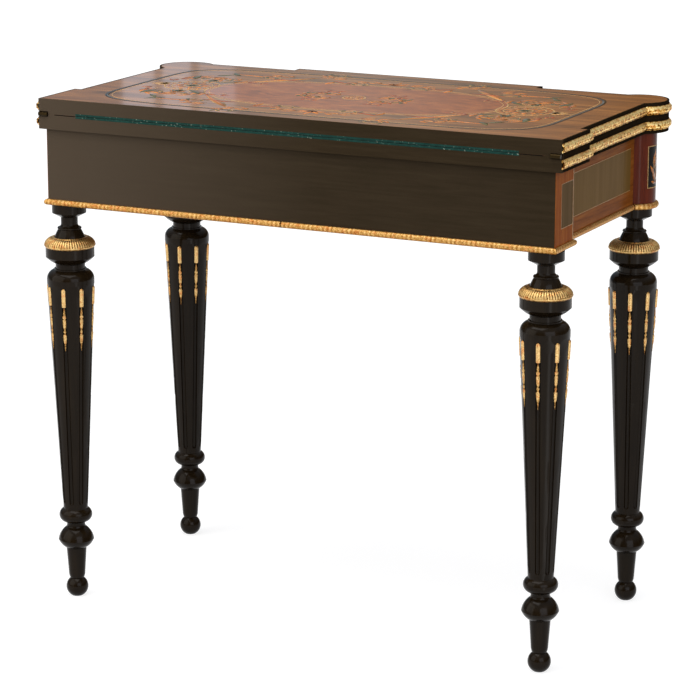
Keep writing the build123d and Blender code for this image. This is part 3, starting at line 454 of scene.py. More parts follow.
# Foliage on the columns' panels: a stem with a bud, pairs of leaves and two curled tendrils
column_low, column_high = millimetres("front_right_column")
column_radius = (column_high.x - column_low.x) / 2
column_x = (column_high.x + column_low.x) / 2
column_y = (column_high.y + column_low.y) / 2
column_faces = [on_column(side * column_x / 1000, column_y / 1000, column_radius / 1000, bearing)
                for side, bearing in ((1, 0), (1, -90), (-1, 180), (-1, 270))]
panel_half = radians(34) * column_radius
middle = (foot + head) / 2
line_width = 1.4
part_of_frame(inlay("column_panel_lines", [frame_line(-panel_half, foot, panel_half, head, line_width)],
                    boxwood, column_faces))
stem = scroll(0, foot + 7, 90, 42, 0, 0, 1.2, 0.6)
tendrils = [scroll(0, foot + 12, 90 - 50 * s, 34, 1.0 * s, 11.0 * s, 1.2, 0.6) for s in (-1, 1)]
upper = [scroll(0, middle - 4, 90 - 55 * s, 26, 1.0 * s, 13.0 * s, 1.0, 0.6) for s in (-1, 1)]
part_of_frame(inlay("column_panel_stems", [stem] + tendrils + upper, pale_wood, column_faces, 0.07))
blades = [leaf(0, middle + 2, 90, 24, 7)]
for s in (-1, 1):
    blades += [leaf(0, middle - 2, 90 - 24 * s, 22, 6.5, 0.8 * s),
               leaf(0, foot + 9, 90 - 36 * s, 20, 6, 1.2 * s),
               leaf(s * 7, foot + 20, 90 - 12 * s, 15, 4.5, -1.5 * s),
               leaf(0, foot + 6, 90 - 78 * s, 12, 4, 1.0 * s)]
part_of_frame(inlay("column_panel_leaves", blades, orange_wood, column_faces, 0.09))

# The front tablet carries two mirrored scrolls between its lines, and the flanks only lines
panels_low, panels_high = millimetres("front_panels")
tablet_half = 150.0
flank_near, flank_far = 212.0, panels_high.x
tablet = [on_front(panels_low.y / 1000)]
flanks = [on_front((panels_high.y - 1.5) / 1000)]
part_of_frame(inlay("tablet_lines", [frame_line(-tablet_half, foot, tablet_half, head, line_width)],
                    boxwood, tablet))
flank_lines = [frame_line(s * flank_near, foot, s * flank_far, head, line_width) for s in (-1, 1)]
part_of_frame(inlay("flank_lines", flank_lines, boxwood, flanks))
tablet_stems, tablet_leaves, tablet_greens = [ring(0, middle, 8, 1.4)], petals(0, middle, 2, 7.5, 4, 8), []
for s in (-1, 1):
    near = scroll(s * 9, middle - 4, 90 - 110 * s, 118, 0.9 * s, 7.0 * s, 1.8, 0.8)
    far = scroll(s * 56, middle + 14, 90 - 60 * s, 118, -0.9 * s, -7.0 * s, 1.6, 0.8)
    end = scroll(s * 104, middle - 12, 90 - 100 * s, 84, 1.2 * s, 8.0 * s, 1.5, 0.8)
    tablet_stems += [near, far, end]
    for curl in (near, far, end):
        tablet_leaves += sprigs(curl, 0.08, 0.42, 3, 17, 5)
        tablet_greens += sprigs(curl, 0.5, 0.75, 2, 11, 3.5)
part_of_frame(inlay("tablet_stems", tablet_stems, pale_wood, tablet, 0.07))
part_of_frame(inlay("tablet_leaves", tablet_leaves, orange_wood, tablet, 0.09))
part_of_frame(inlay("tablet_greens", tablet_greens, green_wood, tablet, 0.1))


# Frieze moulding
# A half round of stamped brass, gilt, is pinned round the foot of the frieze in mitred lengths. Its
# worn leaf pattern is shallow: burnished gold on the high parts, brown in the hollows. Its face is
# painted lighter towards the top and darker towards the bottom, as painted light from above.
def gilt(name, hollow, body, crest, roughness, speckle, speckle_mm):
    """Gilt brass: brown lacquer left in the hollows, a gold body with coppery patches, rubbed crests."""
    wear_mm, grain_mm = 6.67, 0.7143
    material, tree = new_material(name)
    spot = add_node(tree, "ShaderNodeTexCoord").outputs["Object"]
    # The relief attribute holds each point's height in the relief plus any painted light and shade
    relief = add_node(tree, "ShaderNodeAttribute", {"attribute_name": "relief"}).outputs["Fac"]
    patches = add_node(tree, "ShaderNodeTexNoise", {"Scale": 1000 / speckle_mm, "Detail": 3.0},
                       {"Vector": spot})
    tone = add_node(tree, "ShaderNodeMath", {"operation": "MULTIPLY_ADD", 1: speckle, 2: -speckle / 2},
                    {0: patches.outputs["Fac"]})
    tone = add_node(tree, "ShaderNodeMath", {"operation": "ADD"}, {0: tone.outputs[0], 1: relief})
    ramp = add_node(tree, "ShaderNodeValToRGB", {}, {"Fac": tone.outputs[0]},
                    [(0.12, colour(hollow)), (0.45, colour(body)), (0.85, colour(crest))])
    wear_and_top_light = add_node(tree, "ShaderNodeTexNoise", {"Scale": 1000 / wear_mm, "Detail": 2.0}, {"Vector": spot})
    wear_and_top_light = add_node(tree, "ShaderNodeMapRange", {"From Min": 0.5, "From Max": 0.68, "To Max": 0.6},
                    {"Value": wear_and_top_light.outputs["Fac"]})
    metal = add_node(tree, "ShaderNodeMix",
                     {"data_type": "RGBA", "blend_type": "MULTIPLY", 7: colour("#f0b090")},
                     {0: wear_and_top_light.outputs["Result"], 6: ramp.outputs["Color"]})
    grain = add_node(tree, "ShaderNodeTexNoise", {"Scale": 1000 / grain_mm, "Detail": 2.0}, {"Vector": spot})
    bump = add_node(tree, "ShaderNodeBump", {"Strength": 0.5, "Distance": 0.0003},
                    {"Height": grain.outputs["Fac"]})
    surface = add_node(tree, "ShaderNodeBsdfPrincipled", {"Metallic": 1.0, "Roughness": roughness},
                       {"Base Color": metal.outputs[2], "Normal": bump.outputs["Normal"]})
    add_node(tree, "ShaderNodeOutputMaterial", {}, {"Surface": surface.outputs[0]})
    return material


gilt_moulding = gilt("gilt_stamped_moulding", "#5c3616", "#b5843f", "#e6c080", 0.5, 1.3, 1.429)


def shell(name, points, faces, heights, material):
    """A mesh object from points in millimetres, with each point's tone kept on it: its relief and any
    painted light.
    """
    mesh = bpy.data.meshes.new(name)
    mesh.from_pydata([tuple(c / 1000 for c in p) for p in points], [], faces)
    mesh.attributes.new("relief", "FLOAT", "POINT").data.foreach_set("value", heights)
    mesh.materials.append(material)
    shape = bmesh.new()
    shape.from_mesh(mesh)
    bmesh.ops.recalc_face_normals(shape, faces=shape.faces)
    shape.to_mesh(mesh)
    shape.free()
    for polygon in mesh.polygons:
        polygon.use_smooth = len(polygon.vertices) == 4
    piece = bpy.data.objects.new(name, mesh)
    scene.collection.objects.link(piece)
    return piece


def directions(start, end, centre):
    """Directions of travel at the two ends of a run, which is an arc where it has a centre."""
    if centre is None:
        along = (Vector(end) - Vector(start)).normalized()
        return along, along
    radii = [(Vector(p) - Vector(centre)).normalized() for p in (start, end)]
    return [Vector((r.y, -r.x)) for r in radii]


def run_metal(name, edge, first, last, level, section, pattern, step, material, mirrored=False):
    """Mitred lengths of stamped moulding along some runs of an edge. A section point is its distance
    out and up, its share across the face or None, and the way in which its relief rises."""
    points, faces, heights, travelled = [], [], [], 0.0
    gap, wall_tone = 0.05, 0.45
    for k in range(first, last):
        start, end, centre = edge[k]
        leaving, arriving = directions(start, end, centre)
        before = directions(*edge[k - 1])[1] if k > 0 else leaving
        after = directions(*edge[k + 1])[0] if k < len(edge) - 1 else arriving
        if centre is None:
            length = (Vector(end) - Vector(start)).length
        else:
            a0 = atan2(start[1] - centre[1], start[0] - centre[0])
            a1 = atan2(end[1] - centre[1], end[0] - centre[0])
            radius = (Vector(start) - Vector(centre)).length
            length = ((a0 - a1) % (2 * pi)) * radius
        count = max(2, ceil(length / step))
        base = len(points)
        for i in range(count + 1):
            share = i / count
            for out, up, across, (rise_out, rise_up) in section:
                lift = 0.0 if across is None else pattern(travelled + length * share, across)
                d = out + lift * rise_out * (across is not None)
                shift = []
                for here, other, sign in ((leaving, before, 1), (arriving, after, -1)):
                    mitre = (here + other).normalized()
                    outward = Vector((-here.y, here.x))
                    shift.append(-d * outward.dot(mitre) / here.dot(mitre) + sign * gap)
                if centre is None:
                    outward = Vector((-leaving.y, leaving.x))
                    s = shift[0] + share * (length + shift[1] - shift[0])
                    spot = Vector(start) + leaving * s + outward * d
                else:
                    reach = length * (radius + d) / radius
                    s = (shift[0] + share * (reach + shift[1] - shift[0])) / (radius + d)
                    spot = Vector(centre) + Vector((cos(a0 - s), sin(a0 - s))) * (radius + d)
                points.append((-spot.x if mirrored else spot.x, spot.y, level + up + lift * rise_up))
                side = across or 0
                # Painted light from above: lighter towards the top of the face, darker towards its bottom
                wear_and_top_light = 1 + 0.45 * min(side, 0) + 0.3 * max(side, 0)
                rubbed = pattern.base + max(0.0, lift / pattern.height) + pattern.lip * max(0.0, side - 0.4)
                if i in (0, count):
                    rubbed = 0.0
                heights.append(wall_tone if across is None else min(1.0, wear_and_top_light * rubbed))
        n = len(section)
        for i in range(count):
            for j in range(n):
                a, b = base + i * n + j, base + i * n + (j + 1) % n
                faces.append((a, b, b + n, a + n))
        faces.append(tuple(base + j for j in range(n)))
        faces.append(tuple(base + count * n + j for j in reversed(range(n))))
        travelled += length
    return shell(name, points, faces, heights, material)


def half_round(reach, half_height, flat, wall, count):
    """A moulding's section: a flat back, a short flat on each side and a half round face."""
    found = []
    for k in range(count + 1):
        turn = pi / 2 - pi * k / count
        out, up = cos(turn), sin(turn)
        found.append((flat + (reach - flat) * out, half_height + half_height * up,
                      1 - 2 * k / count, (out, up)))
    return found + [(wall, 0.0, None, (0, 0)), (wall, 2 * half_height, None, (0, 0))]


def worn_leaves(distance, across):
    """Height of the moulding's worn pattern: faint short leaves, one behind another, rubbed unevenly."""
    share = (distance / 6.1 - 0.5 * abs(across)) % 1
    rubbed = 0.6 + 0.25 * sin(distance * 0.83) + 0.15 * sin(distance * 2.3 + across * 5)
    body = sin(pi * share) ** 0.6 * max(0.0, 1 - across ** 2) ** 0.5
    return 0.2 * body * rubbed


# A pattern's full height in millimetres, the tone of its ground, and the painted highlight on its upper lip
worn_leaves.height, worn_leaves.base, worn_leaves.lip = 0.42, 0.32, 0.0
back_edge_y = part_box("lower_leaf")[1].y * 1000
frieze_back, post_front = back_edge_y - 5.0, back_edge_y - 71.0
post_outer, side_outer = 404.0, 387.0
joint_x, half_joint, half_gap = 15.0, 0.3, 0.05
front_reach, tablet_reach, tablet_half_width = 17.0, 33.0, 190.0
front_outer, tablet_y = column_y - front_reach, column_y - tablet_reach
meets_side = column_y + sqrt(column_radius**2 - (side_outer - column_x) ** 2)
meets_front = column_x - sqrt(column_radius**2 - front_reach**2)
frieze_edge = [
    ((joint_x + half_joint, frieze_back), (post_outer, frieze_back), None),
    ((post_outer, frieze_back), (post_outer, post_front), None),
    ((post_outer, post_front), (side_outer, post_front), None),
    ((side_outer, post_front), (side_outer, meets_side), None),
    ((side_outer, meets_side), (meets_front, front_outer), (column_x, column_y)),
    ((meets_front, front_outer), (tablet_half_width, front_outer), None),
    ((tablet_half_width, front_outer), (tablet_half_width, tablet_y), None),
    ((tablet_half_width, tablet_y), (half_gap, tablet_y), None),
]
left_back = [((half_joint - joint_x, frieze_back), (post_outer, frieze_back), None)] + frieze_edge[1:]
frieze_foot = millimetres("back_rail")[0].z
frieze_section = half_round(4.7, 4.5, 0.5, 0.0, 12)
frieze_step = 0.9
for name, edge, first, last, mirrored in (
        ("back_right_moulding", frieze_edge, 0, 1, False), ("back_left_moulding", left_back, 0, 1, True),
        ("right_side_moulding", frieze_edge, 1, 4, False), ("left_side_moulding", frieze_edge, 1, 4, True)):
    piece = run_metal("gilt_" + name, edge, first, last, frieze_foot, frieze_section, worn_leaves,
                      frieze_step, gilt_moulding, mirrored)
    part_of_frame(piece)
    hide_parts(name)
halves = [run_metal("gilt_front_moulding", frieze_edge, 4, 8, frieze_foot, frieze_section, worn_leaves,
                    frieze_step, gilt_moulding, mirrored) for mirrored in (False, True)]


def join(pieces):
    """Several mesh objects as one."""
    shape = bmesh.new()
    for piece in pieces:
        shape.from_mesh(piece.data)
    bmesh.ops.recalc_face_normals(shape, faces=shape.faces)
    shape.to_mesh(pieces[0].data)
    shape.free()
    for piece in pieces[1:]:
        bpy.data.objects.remove(piece)
    return pieces[0]


front_moulding = join(halves)
part_of_frame(front_moulding)
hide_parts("front_moulding")

# Leg collars
# Each leg wears a low domed ring of cast brass on its disc, gilt. Fine leaves radiate over the dome
# from a smooth ring at the bell to the rim, and the hollows between them keep a brown lacquer.
gilt_cast = gilt("gilt_cast_collar", "#4a2c12", "#a47a40", "#dcb97a", 0.42, 1.7, 2.174)
collar_leaves, points_per_leaf = 58, 6


def collar_piece(name):
    """One leg's collar: rings of points from its seat over the rim and the leaves back to the bell."""
    low, high = millimetres(name)
    x, y, radius = (low.x + high.x) / 2, (low.y + high.y) / 2, (high.x - low.x) / 2
    rim, top_radius, seat_radius, disc_radius = low.z + 3.5, 24.5, 22.5, 36.4
    # The last number of each row is its tone in the gilt: painted shade keeps the seat and underside dark,
    # and painted highlight brightens the rim and the top ring
    rows = [(seat_radius, low.z, 0.0, 0.3), (disc_radius, low.z, 0.0, 0.3),
            (radius - 0.6, rim - 1.2, 0.0, 0.75), (radius - 0.1, rim - 0.4, 0.0, 0.85)]
    for k in range(13):
        share = k / 12
        turn = radians(4 + 72 * share)
        rows.append((top_radius + (radius - 0.5 - top_radius) * cos(turn) ** 1.15,
                     rim + 12.0 * sin(turn) ** 1.1 - 0.5, min(1, 4 * share + 0.3, 5 * (1 - share)), 0.5))
    rows += [(top_radius + 2.6, high.z - 0.5, 0.0, 0.6), (top_radius + 1.6, high.z, 0.0, 0.8),
             (top_radius, high.z - 0.1, 0.0, 0.8), (seat_radius, high.z - 0.1, 0.0, 0.4)]
    around = collar_leaves * points_per_leaf
    points, faces, heights = [], [], []
    for r, z, amount, shade in rows:
        for i in range(around):
            turn = 2 * pi * i / around
            blade = abs(cos(turn * collar_leaves / 2)) ** 0.5
            lift = amount * (blade - 0.55)
            rr = min(r + 0.8 * lift, radius - 0.02)
            points.append((x + rr * cos(turn), y + rr * sin(turn), z + 0.6 * lift))
            heights.append(max(0.0, min(1.0, shade + 1.2 * lift)))
    count = len(rows)
    for j in range(count):
        for i in range(around):
            a, b = j * around + i, j * around + (i + 1) % around
            c, d = ((j + 1) % count) * around + (i + 1) % around, ((j + 1) % count) * around + i
            faces.append((a, b, c, d))
    return shell("gilt_" + name, points, faces, heights, gilt_cast)


for name in legs:
    collar = collar_piece(name + "_collar")
    part_of_frame(collar)
    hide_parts(name + "_collar")

# Leg mounts
# A cast drop is pinned in the head of each flute: a plain rod with a round top, then husks and beads
# down to a thin tip. There are eight round each leg, all from one mould.
gilt_drop = gilt("gilt_cast_drop", "#5e3c18", "#bb9052", "#e6c386", 0.44, 1.7, 1.613)
drop_sides = 16
# Each row of the drop: its height and radius, and how deeply the husk's five leaves are cut there
drop_rows = [(0.0, 0.6, 0), (6.0, 0.9, 0), (11.0, 1.1, 0), (12.5, 1.8, 0.5), (16.0, 2.1, 1),
             (21.0, 2.4, 1), (24.5, 2.6, 0.5), (26.0, 1.5, 0), (27.5, 1.2, 0), (28.8, 2.0, 0),
             (30.6, 2.0, 0), (32.0, 1.2, 0), (34.0, 1.3, 0), (36.0, 2.0, 1), (42.0, 2.3, 1),
             (48.0, 2.5, 0.6), (49.6, 1.6, 0), (51.0, 2.7, 0), (53.6, 2.7, 0), (55.4, 1.6, 0),
             (58.0, 1.8, 0), (62.0, 1.3, 0), (66.0, 0.8, 0), (67.4, 0.9, 0), (67.9, 3.0, 0),
             (69.0, 3.2, 0), (80.0, 3.2, 0), (92.6, 3.2, 0), (94.4, 2.7, 0), (95.5, 1.6, 0), (95.9, 0.4, 0)]
drop_points, drop_faces, drop_heights = [], [], []
for z, r, lobes in drop_rows:
    for i in range(drop_sides):
        turn = 2 * pi * i / drop_sides
        lift = lobes * 0.22 * (abs(cos(turn * 2.5)) - 0.5)
        drop_points.append((0.7 * r * (1 + lift) * cos(turn), r * (1 + lift) * sin(turn), z))
        drop_heights.append(max(0.0, min(1.0, 0.1 + r / 5 + 2.5 * lift)))
for j in range(len(drop_rows) - 1):
    for i in range(drop_sides):
        a, b = j * drop_sides + i, j * drop_sides + (i + 1) % drop_sides
        drop_faces.append((a, b, b + drop_sides, a + drop_sides))
drop_faces.append(tuple(range(drop_sides)))
drop_faces.append(tuple(range((len(drop_rows) - 1) * drop_sides, len(drop_rows) * drop_sides)))
one_drop = shell("one_drop", drop_points, drop_faces, drop_heights, gilt_drop)
mount_tree, ins, outs = geometry_tree("set_mounts", [
    ("Mount", "NodeSocketObject"), ("Metal", "NodeSocketMaterial")])
spots = add_node(mount_tree, "GeometryNodeMeshToPoints", {}, {"Mesh": ins.outputs["Geometry"]})
mount = add_node(mount_tree, "GeometryNodeObjectInfo", {}, {"Object": ins.outputs["Mount"]})
turn = add_node(mount_tree, "GeometryNodeInputNamedAttribute", {"data_type": "FLOAT_VECTOR", "Name": "turn"})
turn = add_node(mount_tree, "FunctionNodeEulerToRotation", {}, {0: turn.outputs["Attribute"]})
mounts = add_node(mount_tree, "GeometryNodeInstanceOnPoints", {}, {
    "Points": spots.outputs[0], "Instance": mount.outputs["Geometry"], "Rotation": turn.outputs[0]})
mounts = add_node(mount_tree, "GeometryNodeRealizeInstances", {}, {0: mounts.outputs[0]})
mounts = add_node(mount_tree, "GeometryNodeSetMaterial", {},
                  {"Geometry": mounts.outputs[0], "Material": ins.outputs["Metal"]})
mount_tree.links.new(mounts.outputs[0], outs.inputs["Geometry"])


def place_mounts(name, places, turns, mount_object, metal):
    """Put a copy of a mount at each place in millimetres, turned by its Euler angles."""
    mesh = bpy.data.meshes.new(name)
    mesh.from_pydata([tuple(c / 1000 for c in p) for p in places], [], [])
    turn_data = mesh.attributes.new("turn", "FLOAT_VECTOR", "POINT").data
    turn_data.foreach_set("vector", [angle for turn in turns for angle in turn])
    return realise(name, mesh, mount_tree, {"Mount": mount_object, "Metal": metal})


# Each leg was turned by hand and set at its own angle, here in degrees
leg_turns = {"back_left_leg": 7.0, "back_right_leg": 13.0, "front_left_leg": 14.0, "front_right_leg": 9.0}
shaft_foot_radius, shaft_top_radius, flute_count = 18.5, 35.5, 8
shaft_bottom, shaft_top = 139.5, 491.0
slope = (shaft_top_radius - shaft_foot_radius) / (shaft_top - shaft_bottom)
for name in legs:
    tip = millimetres(name + "_mounts")[0].z
    leg_low, leg_high = millimetres(name)
    x, y = (leg_low.x + leg_high.x) / 2, (leg_low.y + leg_high.y) / 2
    base_radius = shaft_foot_radius + slope * (tip - shaft_bottom)
    places, turns = [], []
    for k in range(flute_count):
        bearing = radians(90 + leg_turns[name] + 360 / flute_count * k)
        places.append((x + base_radius * cos(bearing), y + base_radius * sin(bearing), tip))
        turns.append((0.0, atan2(slope, 1), bearing))
    piece = place_mounts("gilt_" + name + "_mounts", places, turns, one_drop, gilt_drop)
    part_of_frame(piece)
    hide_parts(name + "_mounts")
bpy.data.objects.remove(one_drop)


# Pivot, hinges and their screws
# The fittings are filed brass: a plate and bolt under the lower leaf, edge hinges let into the leaves'
# ends, and countersunk screws. Filing leaves fine scratches, and handling dulls the polish.
def brass(name, dull, bright):
    """Filed brass: fine scratches along the table, and a tarnish between two tones."""
    tarnish_mm = 11.1
    scratch_scale = [1000 / size for size in (16.7, 0.556, 0.556)]
    material, tree = new_material(name)
    spot = add_node(tree, "ShaderNodeTexCoord").outputs["Object"]
    scratch_place = add_node(tree, "ShaderNodeMapping", {"Scale": scratch_scale}, {"Vector": spot})
    scratches = add_node(tree, "ShaderNodeTexNoise", {"Scale": 1.0, "Detail": 2.0},
                         {"Vector": scratch_place.outputs[0]})
    tarnish = add_node(tree, "ShaderNodeTexNoise", {"Scale": 1000 / tarnish_mm, "Detail": 4.0},
                       {"Vector": spot})
    ramp = add_node(tree, "ShaderNodeValToRGB", {}, {"Fac": tarnish.outputs["Fac"]},
                    [(0.0, colour(dull)), (1.0, colour(bright))])
    bump = add_node(tree, "ShaderNodeBump", {"Strength": 0.3, "Distance": 0.0001},
                    {"Height": scratches.outputs["Fac"]})
    surface = add_node(tree, "ShaderNodeBsdfPrincipled", {"Metallic": 1.0, "Roughness": 0.32},
                       {"Base Color": ramp.outputs["Color"], "Normal": bump.outputs["Normal"]})
    add_node(tree, "ShaderNodeOutputMaterial", {}, {"Surface": surface.outputs[0]})
    return material


paint(brass("filed_brass", "#9a7434", "#dcb868"), "pivot_plate", "pivot_bolt", "pivot_nut", "pivot_washer",
      "pivot_screws", "stop_peg", "lower_hinge_screws", "upper_hinge_screws")
# The hinges are coloured brown black, far darker than the other brass, as dark as the slit where they sit
paint(brass("dark_hinge_brass", "#171209", "#3a2e1a"), "hinge_pins", "lower_left_hinge_plate",
      "lower_right_hinge_plate", "upper_left_hinge_plate", "upper_right_hinge_plate")


# Slip pads
# Six slips of green felt are glued to the rails, and the turning top slides on them. Felt is matted
# wool: soft edged, matt and finely mottled, pressed a little flat.
def wool(name, dark, light, nap_mm, lint):
    """Matted or napped wool: mottled colour, a bumpy surface, and specks of pale lint."""
    mottle_mm, lint_mm = 6.25, 2.381
    material, tree = new_material(name)
    spot = add_node(tree, "ShaderNodeTexCoord").outputs["Object"]
    mottle = add_node(tree, "ShaderNodeTexNoise",
                      {"Scale": 1000 / mottle_mm, "Detail": 6.0, "Roughness": 0.7}, {"Vector": spot})
    ramp = add_node(tree, "ShaderNodeValToRGB", {}, {"Fac": mottle.outputs["Fac"]},
                    [(0.3, colour(dark)), (0.7, colour(light))])
    specks = add_node(tree, "ShaderNodeTexNoise", {"Scale": 1000 / lint_mm, "Detail": 3.0}, {"Vector": spot})
    specks = add_node(tree, "ShaderNodeMapRange", {"From Min": 0.66, "From Max": 0.72, "To Max": lint},
                      {"Value": specks.outputs["Fac"]})
    cloth = add_node(tree, "ShaderNodeMix", {"data_type": "RGBA", 7: colour("#b9c4b0")},
                     {0: specks.outputs["Result"], 6: ramp.outputs["Color"]})
    nap = add_node(tree, "ShaderNodeTexNoise", {"Scale": 1000 / nap_mm, "Detail": 3.0}, {"Vector": spot})
    bump = add_node(tree, "ShaderNodeBump", {"Strength": 0.6, "Distance": 0.0004},
                    {"Height": nap.outputs["Fac"]})
    surface = add_node(
        tree, "ShaderNodeBsdfPrincipled",
        {"Roughness": 0.95, "Specular IOR Level": 0.1, "Sheen Weight": 0.06, "Sheen Roughness": 0.5},
        {"Base Color": cloth.outputs[2], "Normal": bump.outputs["Normal"]})
    add_node(tree, "ShaderNodeOutputMaterial", {}, {"Surface": surface.outputs[0]})
    return material


def soft_slab(name, outline, low, high, edge, material):
    """A slab of cloth or felt over an outline in millimetres, its edges rounded."""
    shape = bmesh.new()
    face = shape.faces.new([shape.verts.new((x / 1000, y / 1000, low / 1000)) for x, y in outline])
    raised = bmesh.ops.extrude_face_region(shape, geom=[face])
    for item in raised["geom"]:
        if isinstance(item, bmesh.types.BMVert):
            item.co.z = high / 1000
    rims = [e for e in shape.edges if abs(e.verts[0].co.z - e.verts[1].co.z) < 1e-7]
    bmesh.ops.bevel(shape, geom=rims, offset=edge / 1000, segments=3, profile=0.5, affect="EDGES")
    bmesh.ops.recalc_face_normals(shape, faces=shape.faces)
    mesh = bpy.data.meshes.new(name)
    shape.to_mesh(mesh)
    shape.free()
    mesh.materials.append(material)
    piece = bpy.data.objects.new(name, mesh)
    scene.collection.objects.link(piece)
    return piece


felt = wool("green_felt", "#2e4634", "#41604a", 0.9, 0.0)
pad_low, pad_high = millimetres("slip_pads")
half_rail, half_slip, half_breadth, pressed = 11.0, 35, 6, 0.15
rail_x, rail_y, front_rail_y = 169.0, frieze_back - half_rail, front_outer + half_rail
side_x, side_pad_y = side_outer - half_rail, (post_front + column_y) / 2
pads = []
for s in (-1, 1):
    for x, y, half_x, half_y in ((s * rail_x, rail_y, half_slip, half_breadth),
                                 (s * rail_x, front_rail_y, half_slip, half_breadth),
                                 (s * side_x, side_pad_y, half_breadth, half_slip)):
        outline = [(x + i * half_x, y + j * half_y) for i, j in ((-1, -1), (1, -1), (1, 1), (-1, 1))]
        pads.append(soft_slab("felt_slips", outline, pad_low.z, pad_high.z - pressed, 0.3, felt))
felt_slips = join(pads)
part_of_frame(felt_slips)
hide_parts("slip_pads")

# Leaves
# The two leaves are mahogany boards, ebonised on their edges and undersides. Inside, the border round
# the cloth is rosewood veneer, hidden while the table is shut.
leaf_wood = {**rosewood, "grain": "X", "colours": ("#5a2f1b", "#734325", "#8b5836")}
fold_z, polish_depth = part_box("lower_leaf")[1].z, 0.00002
paint(wooden("lower_leaf_wood", ebonised_board, 0.2, 0.08, leaf_wood,
             ("Z", fold_z - polish_depth, "LESS_THAN"), 0.2, 0.0), "lower_leaf")
paint(wooden("upper_leaf_wood", ebonised_board, 0.2, 0.08, leaf_wood,
             ("Z", fold_z + polish_depth, "GREATER_THAN"), 0.2, 0.0), "upper_leaf")

# Between the cloth and the hinges a dark strip on the lower leaf's back edge is painted shadow for the gap
# between the leaves
joint_width = 1.2
joint_level, cloth_end_x, hinge_x = fold_z * 1000 - joint_width / 2 - 0.02, 352.0, 387.0
joint_runs = [([(s * cloth_end_x, joint_level), (s * hinge_x, joint_level)], [joint_width] * 2, False)
              for s in (-1, 1)]
joint_shadow = veneer("joint_shadow", ("#0c0906", "#120d09"), 0.5, False, 0.02)
joint_line = inlay("leaf_joint_line", joint_runs, joint_shadow,
                   [lambda u, v, w: (u, back_edge_y / 1000 + w, v)], 0.05)
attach(joint_line, "lower_top")

# Marquetry of the top
# A rosewood ground is inlaid with a framed panel: a red burr field, rosettes and scrolls of boxwood
# with leaves in stained woods, some shaded in hot sand. It is cut flat and polished over as one.
ground_wood = {"colours": ("#643b15", "#8c5625", "#ab6f33"), "grain": "X", "across": 26.0, "along": 210.0,
               "pore": 0.05, "open": 0.86, "twist": 1.2}
burr_wood = {"colours": ("#773a12", "#9d5120", "#b86c30"), "grain": "X", "across": 22.0, "along": 60.0,
             "pore": 0.07, "open": 0.85, "twist": 2.2}
paint(wooden("rosewood_ground", ground_wood, top_polish, 0.02, shine=top_shine), "top_veneer")
burr = wooden("red_burr", burr_wood, top_polish, 0.02, shine=top_shine)
top_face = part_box("top_veneer")[1].z
recess_run = 420.0
centre_y = (back_edge_y - recess_run / 2) / 1000


def on_top(mirror_u=1, mirror_v=1):
    """The face of the top: u runs along x and v along y from its middle, either of them mirrored."""
    return lambda u, v, w: (mirror_u * u, mirror_v * v + centre_y, top_face + w)


top_surface = [on_top()]
quarters = [on_top(i, j) for i in (-1, 1) for j in (-1, 1)]
ends = [on_top(i) for i in (-1, 1)]
long_sides = [on_top(1, j) for j in (-1, 1)]


def part_of_top(name, strips, wood, surfaces, thickness):
    """Strips cut in one veneer and laid in the marquetry of the top leaf."""
    piece = inlay(name, strips, wood, surfaces, thickness)
    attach(piece, "upper_top")


def oval(half_x, half_y, power, line_width, steps=120):
    """A closed oval, squarer than an ellipse where its power is over 2."""
    points = []
    for k in range(steps):
        c, s = cos(2 * pi * k / steps), sin(2 * pi * k / steps)
        points.append((half_x * abs(c) ** (2 / power) * (1 if c > 0 else -1),
                       half_y * abs(s) ** (2 / power) * (1 if s > 0 else -1)))
    return points, [line_width] * steps, True


field_half_x, field_half_y, field_power = 236.0, 121.0, 2.4
field_under, field_over = top_face - 0.00005, top_face + 0.00004
field = bmesh.new()
outline = oval(field_half_x, field_half_y, field_power, 1)[0]
face = field.faces.new([field.verts.new((x / 1000, y / 1000 + centre_y, field_under)) for x, y in outline])
raised = bmesh.ops.extrude_face_region(field, geom=[face])
for item in raised["geom"]:
    if isinstance(item, bmesh.types.BMVert):
        item.co.z = field_over
bmesh.ops.recalc_face_normals(field, faces=field.faces)
field_mesh = bpy.data.meshes.new("burr_field")
field.to_mesh(field_mesh)
field.free()
field_mesh.materials.append(burr)
burr_field = bpy.data.objects.new("burr_field", field_mesh)
scene.collection.objects.link(burr_field)
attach(burr_field, "upper_top")

rim = oval(352, 181, 6.0, 6.0, 200)
inner_rim = oval(346, 175, 6.0, 1.1, 200)
ebony_line = veneer("ebony_line", ("#22160a", "#342414"), top_polish, False, top_shine)
part_of_top("border_dark_line", [rim], ebony_line, top_surface, 0.06)
field_lines = [oval(field_half_x, field_half_y, field_power, 2.2),
               oval(field_half_x - 7, field_half_y - 7, field_power, 1.0)]
part_of_top("border_lines", [inner_rim] + field_lines, boxwood, top_surface, 0.07)

rosette_lines = [ring(272, 0, 42, 2.2), ring(272, 0, 31, 1.6), ring(272, 0, 12, 1.6)]
volute = scroll(226, 44, 104, 168, -1.1, -5.6, 3.0, 1.2, 40)
corner_volute = scroll(318, 50, 100, 165, 0.5, 5.8, 3.0, 1.2, 40)
side_curls = [scroll(20, 139, 30, 118, -0.8, -6.0, 2.6, 1.1, 32),
              scroll(88, 166, -28, 118, 0.8, 6.0, 2.6, 1.1, 32),
              scroll(170, 140, 32, 110, -0.9, -6.2, 2.6, 1.1, 32)]
small_curls = [scroll(214, 60, 130, 60, 1.0, 8.0, 2.0, 1.0), scroll(322, 30, 60, 52, 1.0, 9.0, 2.0, 1.0)]
centre_scrolls = [scroll(16, 7, 30, 150, -0.1, -5.0, 2.4, 1.0, 36),
                  scroll(60, 14, 60, 70, 1.0, 8.0, 1.8, 0.9)]
quarter_lines = [volute, corner_volute] + side_curls + small_curls + centre_scrolls
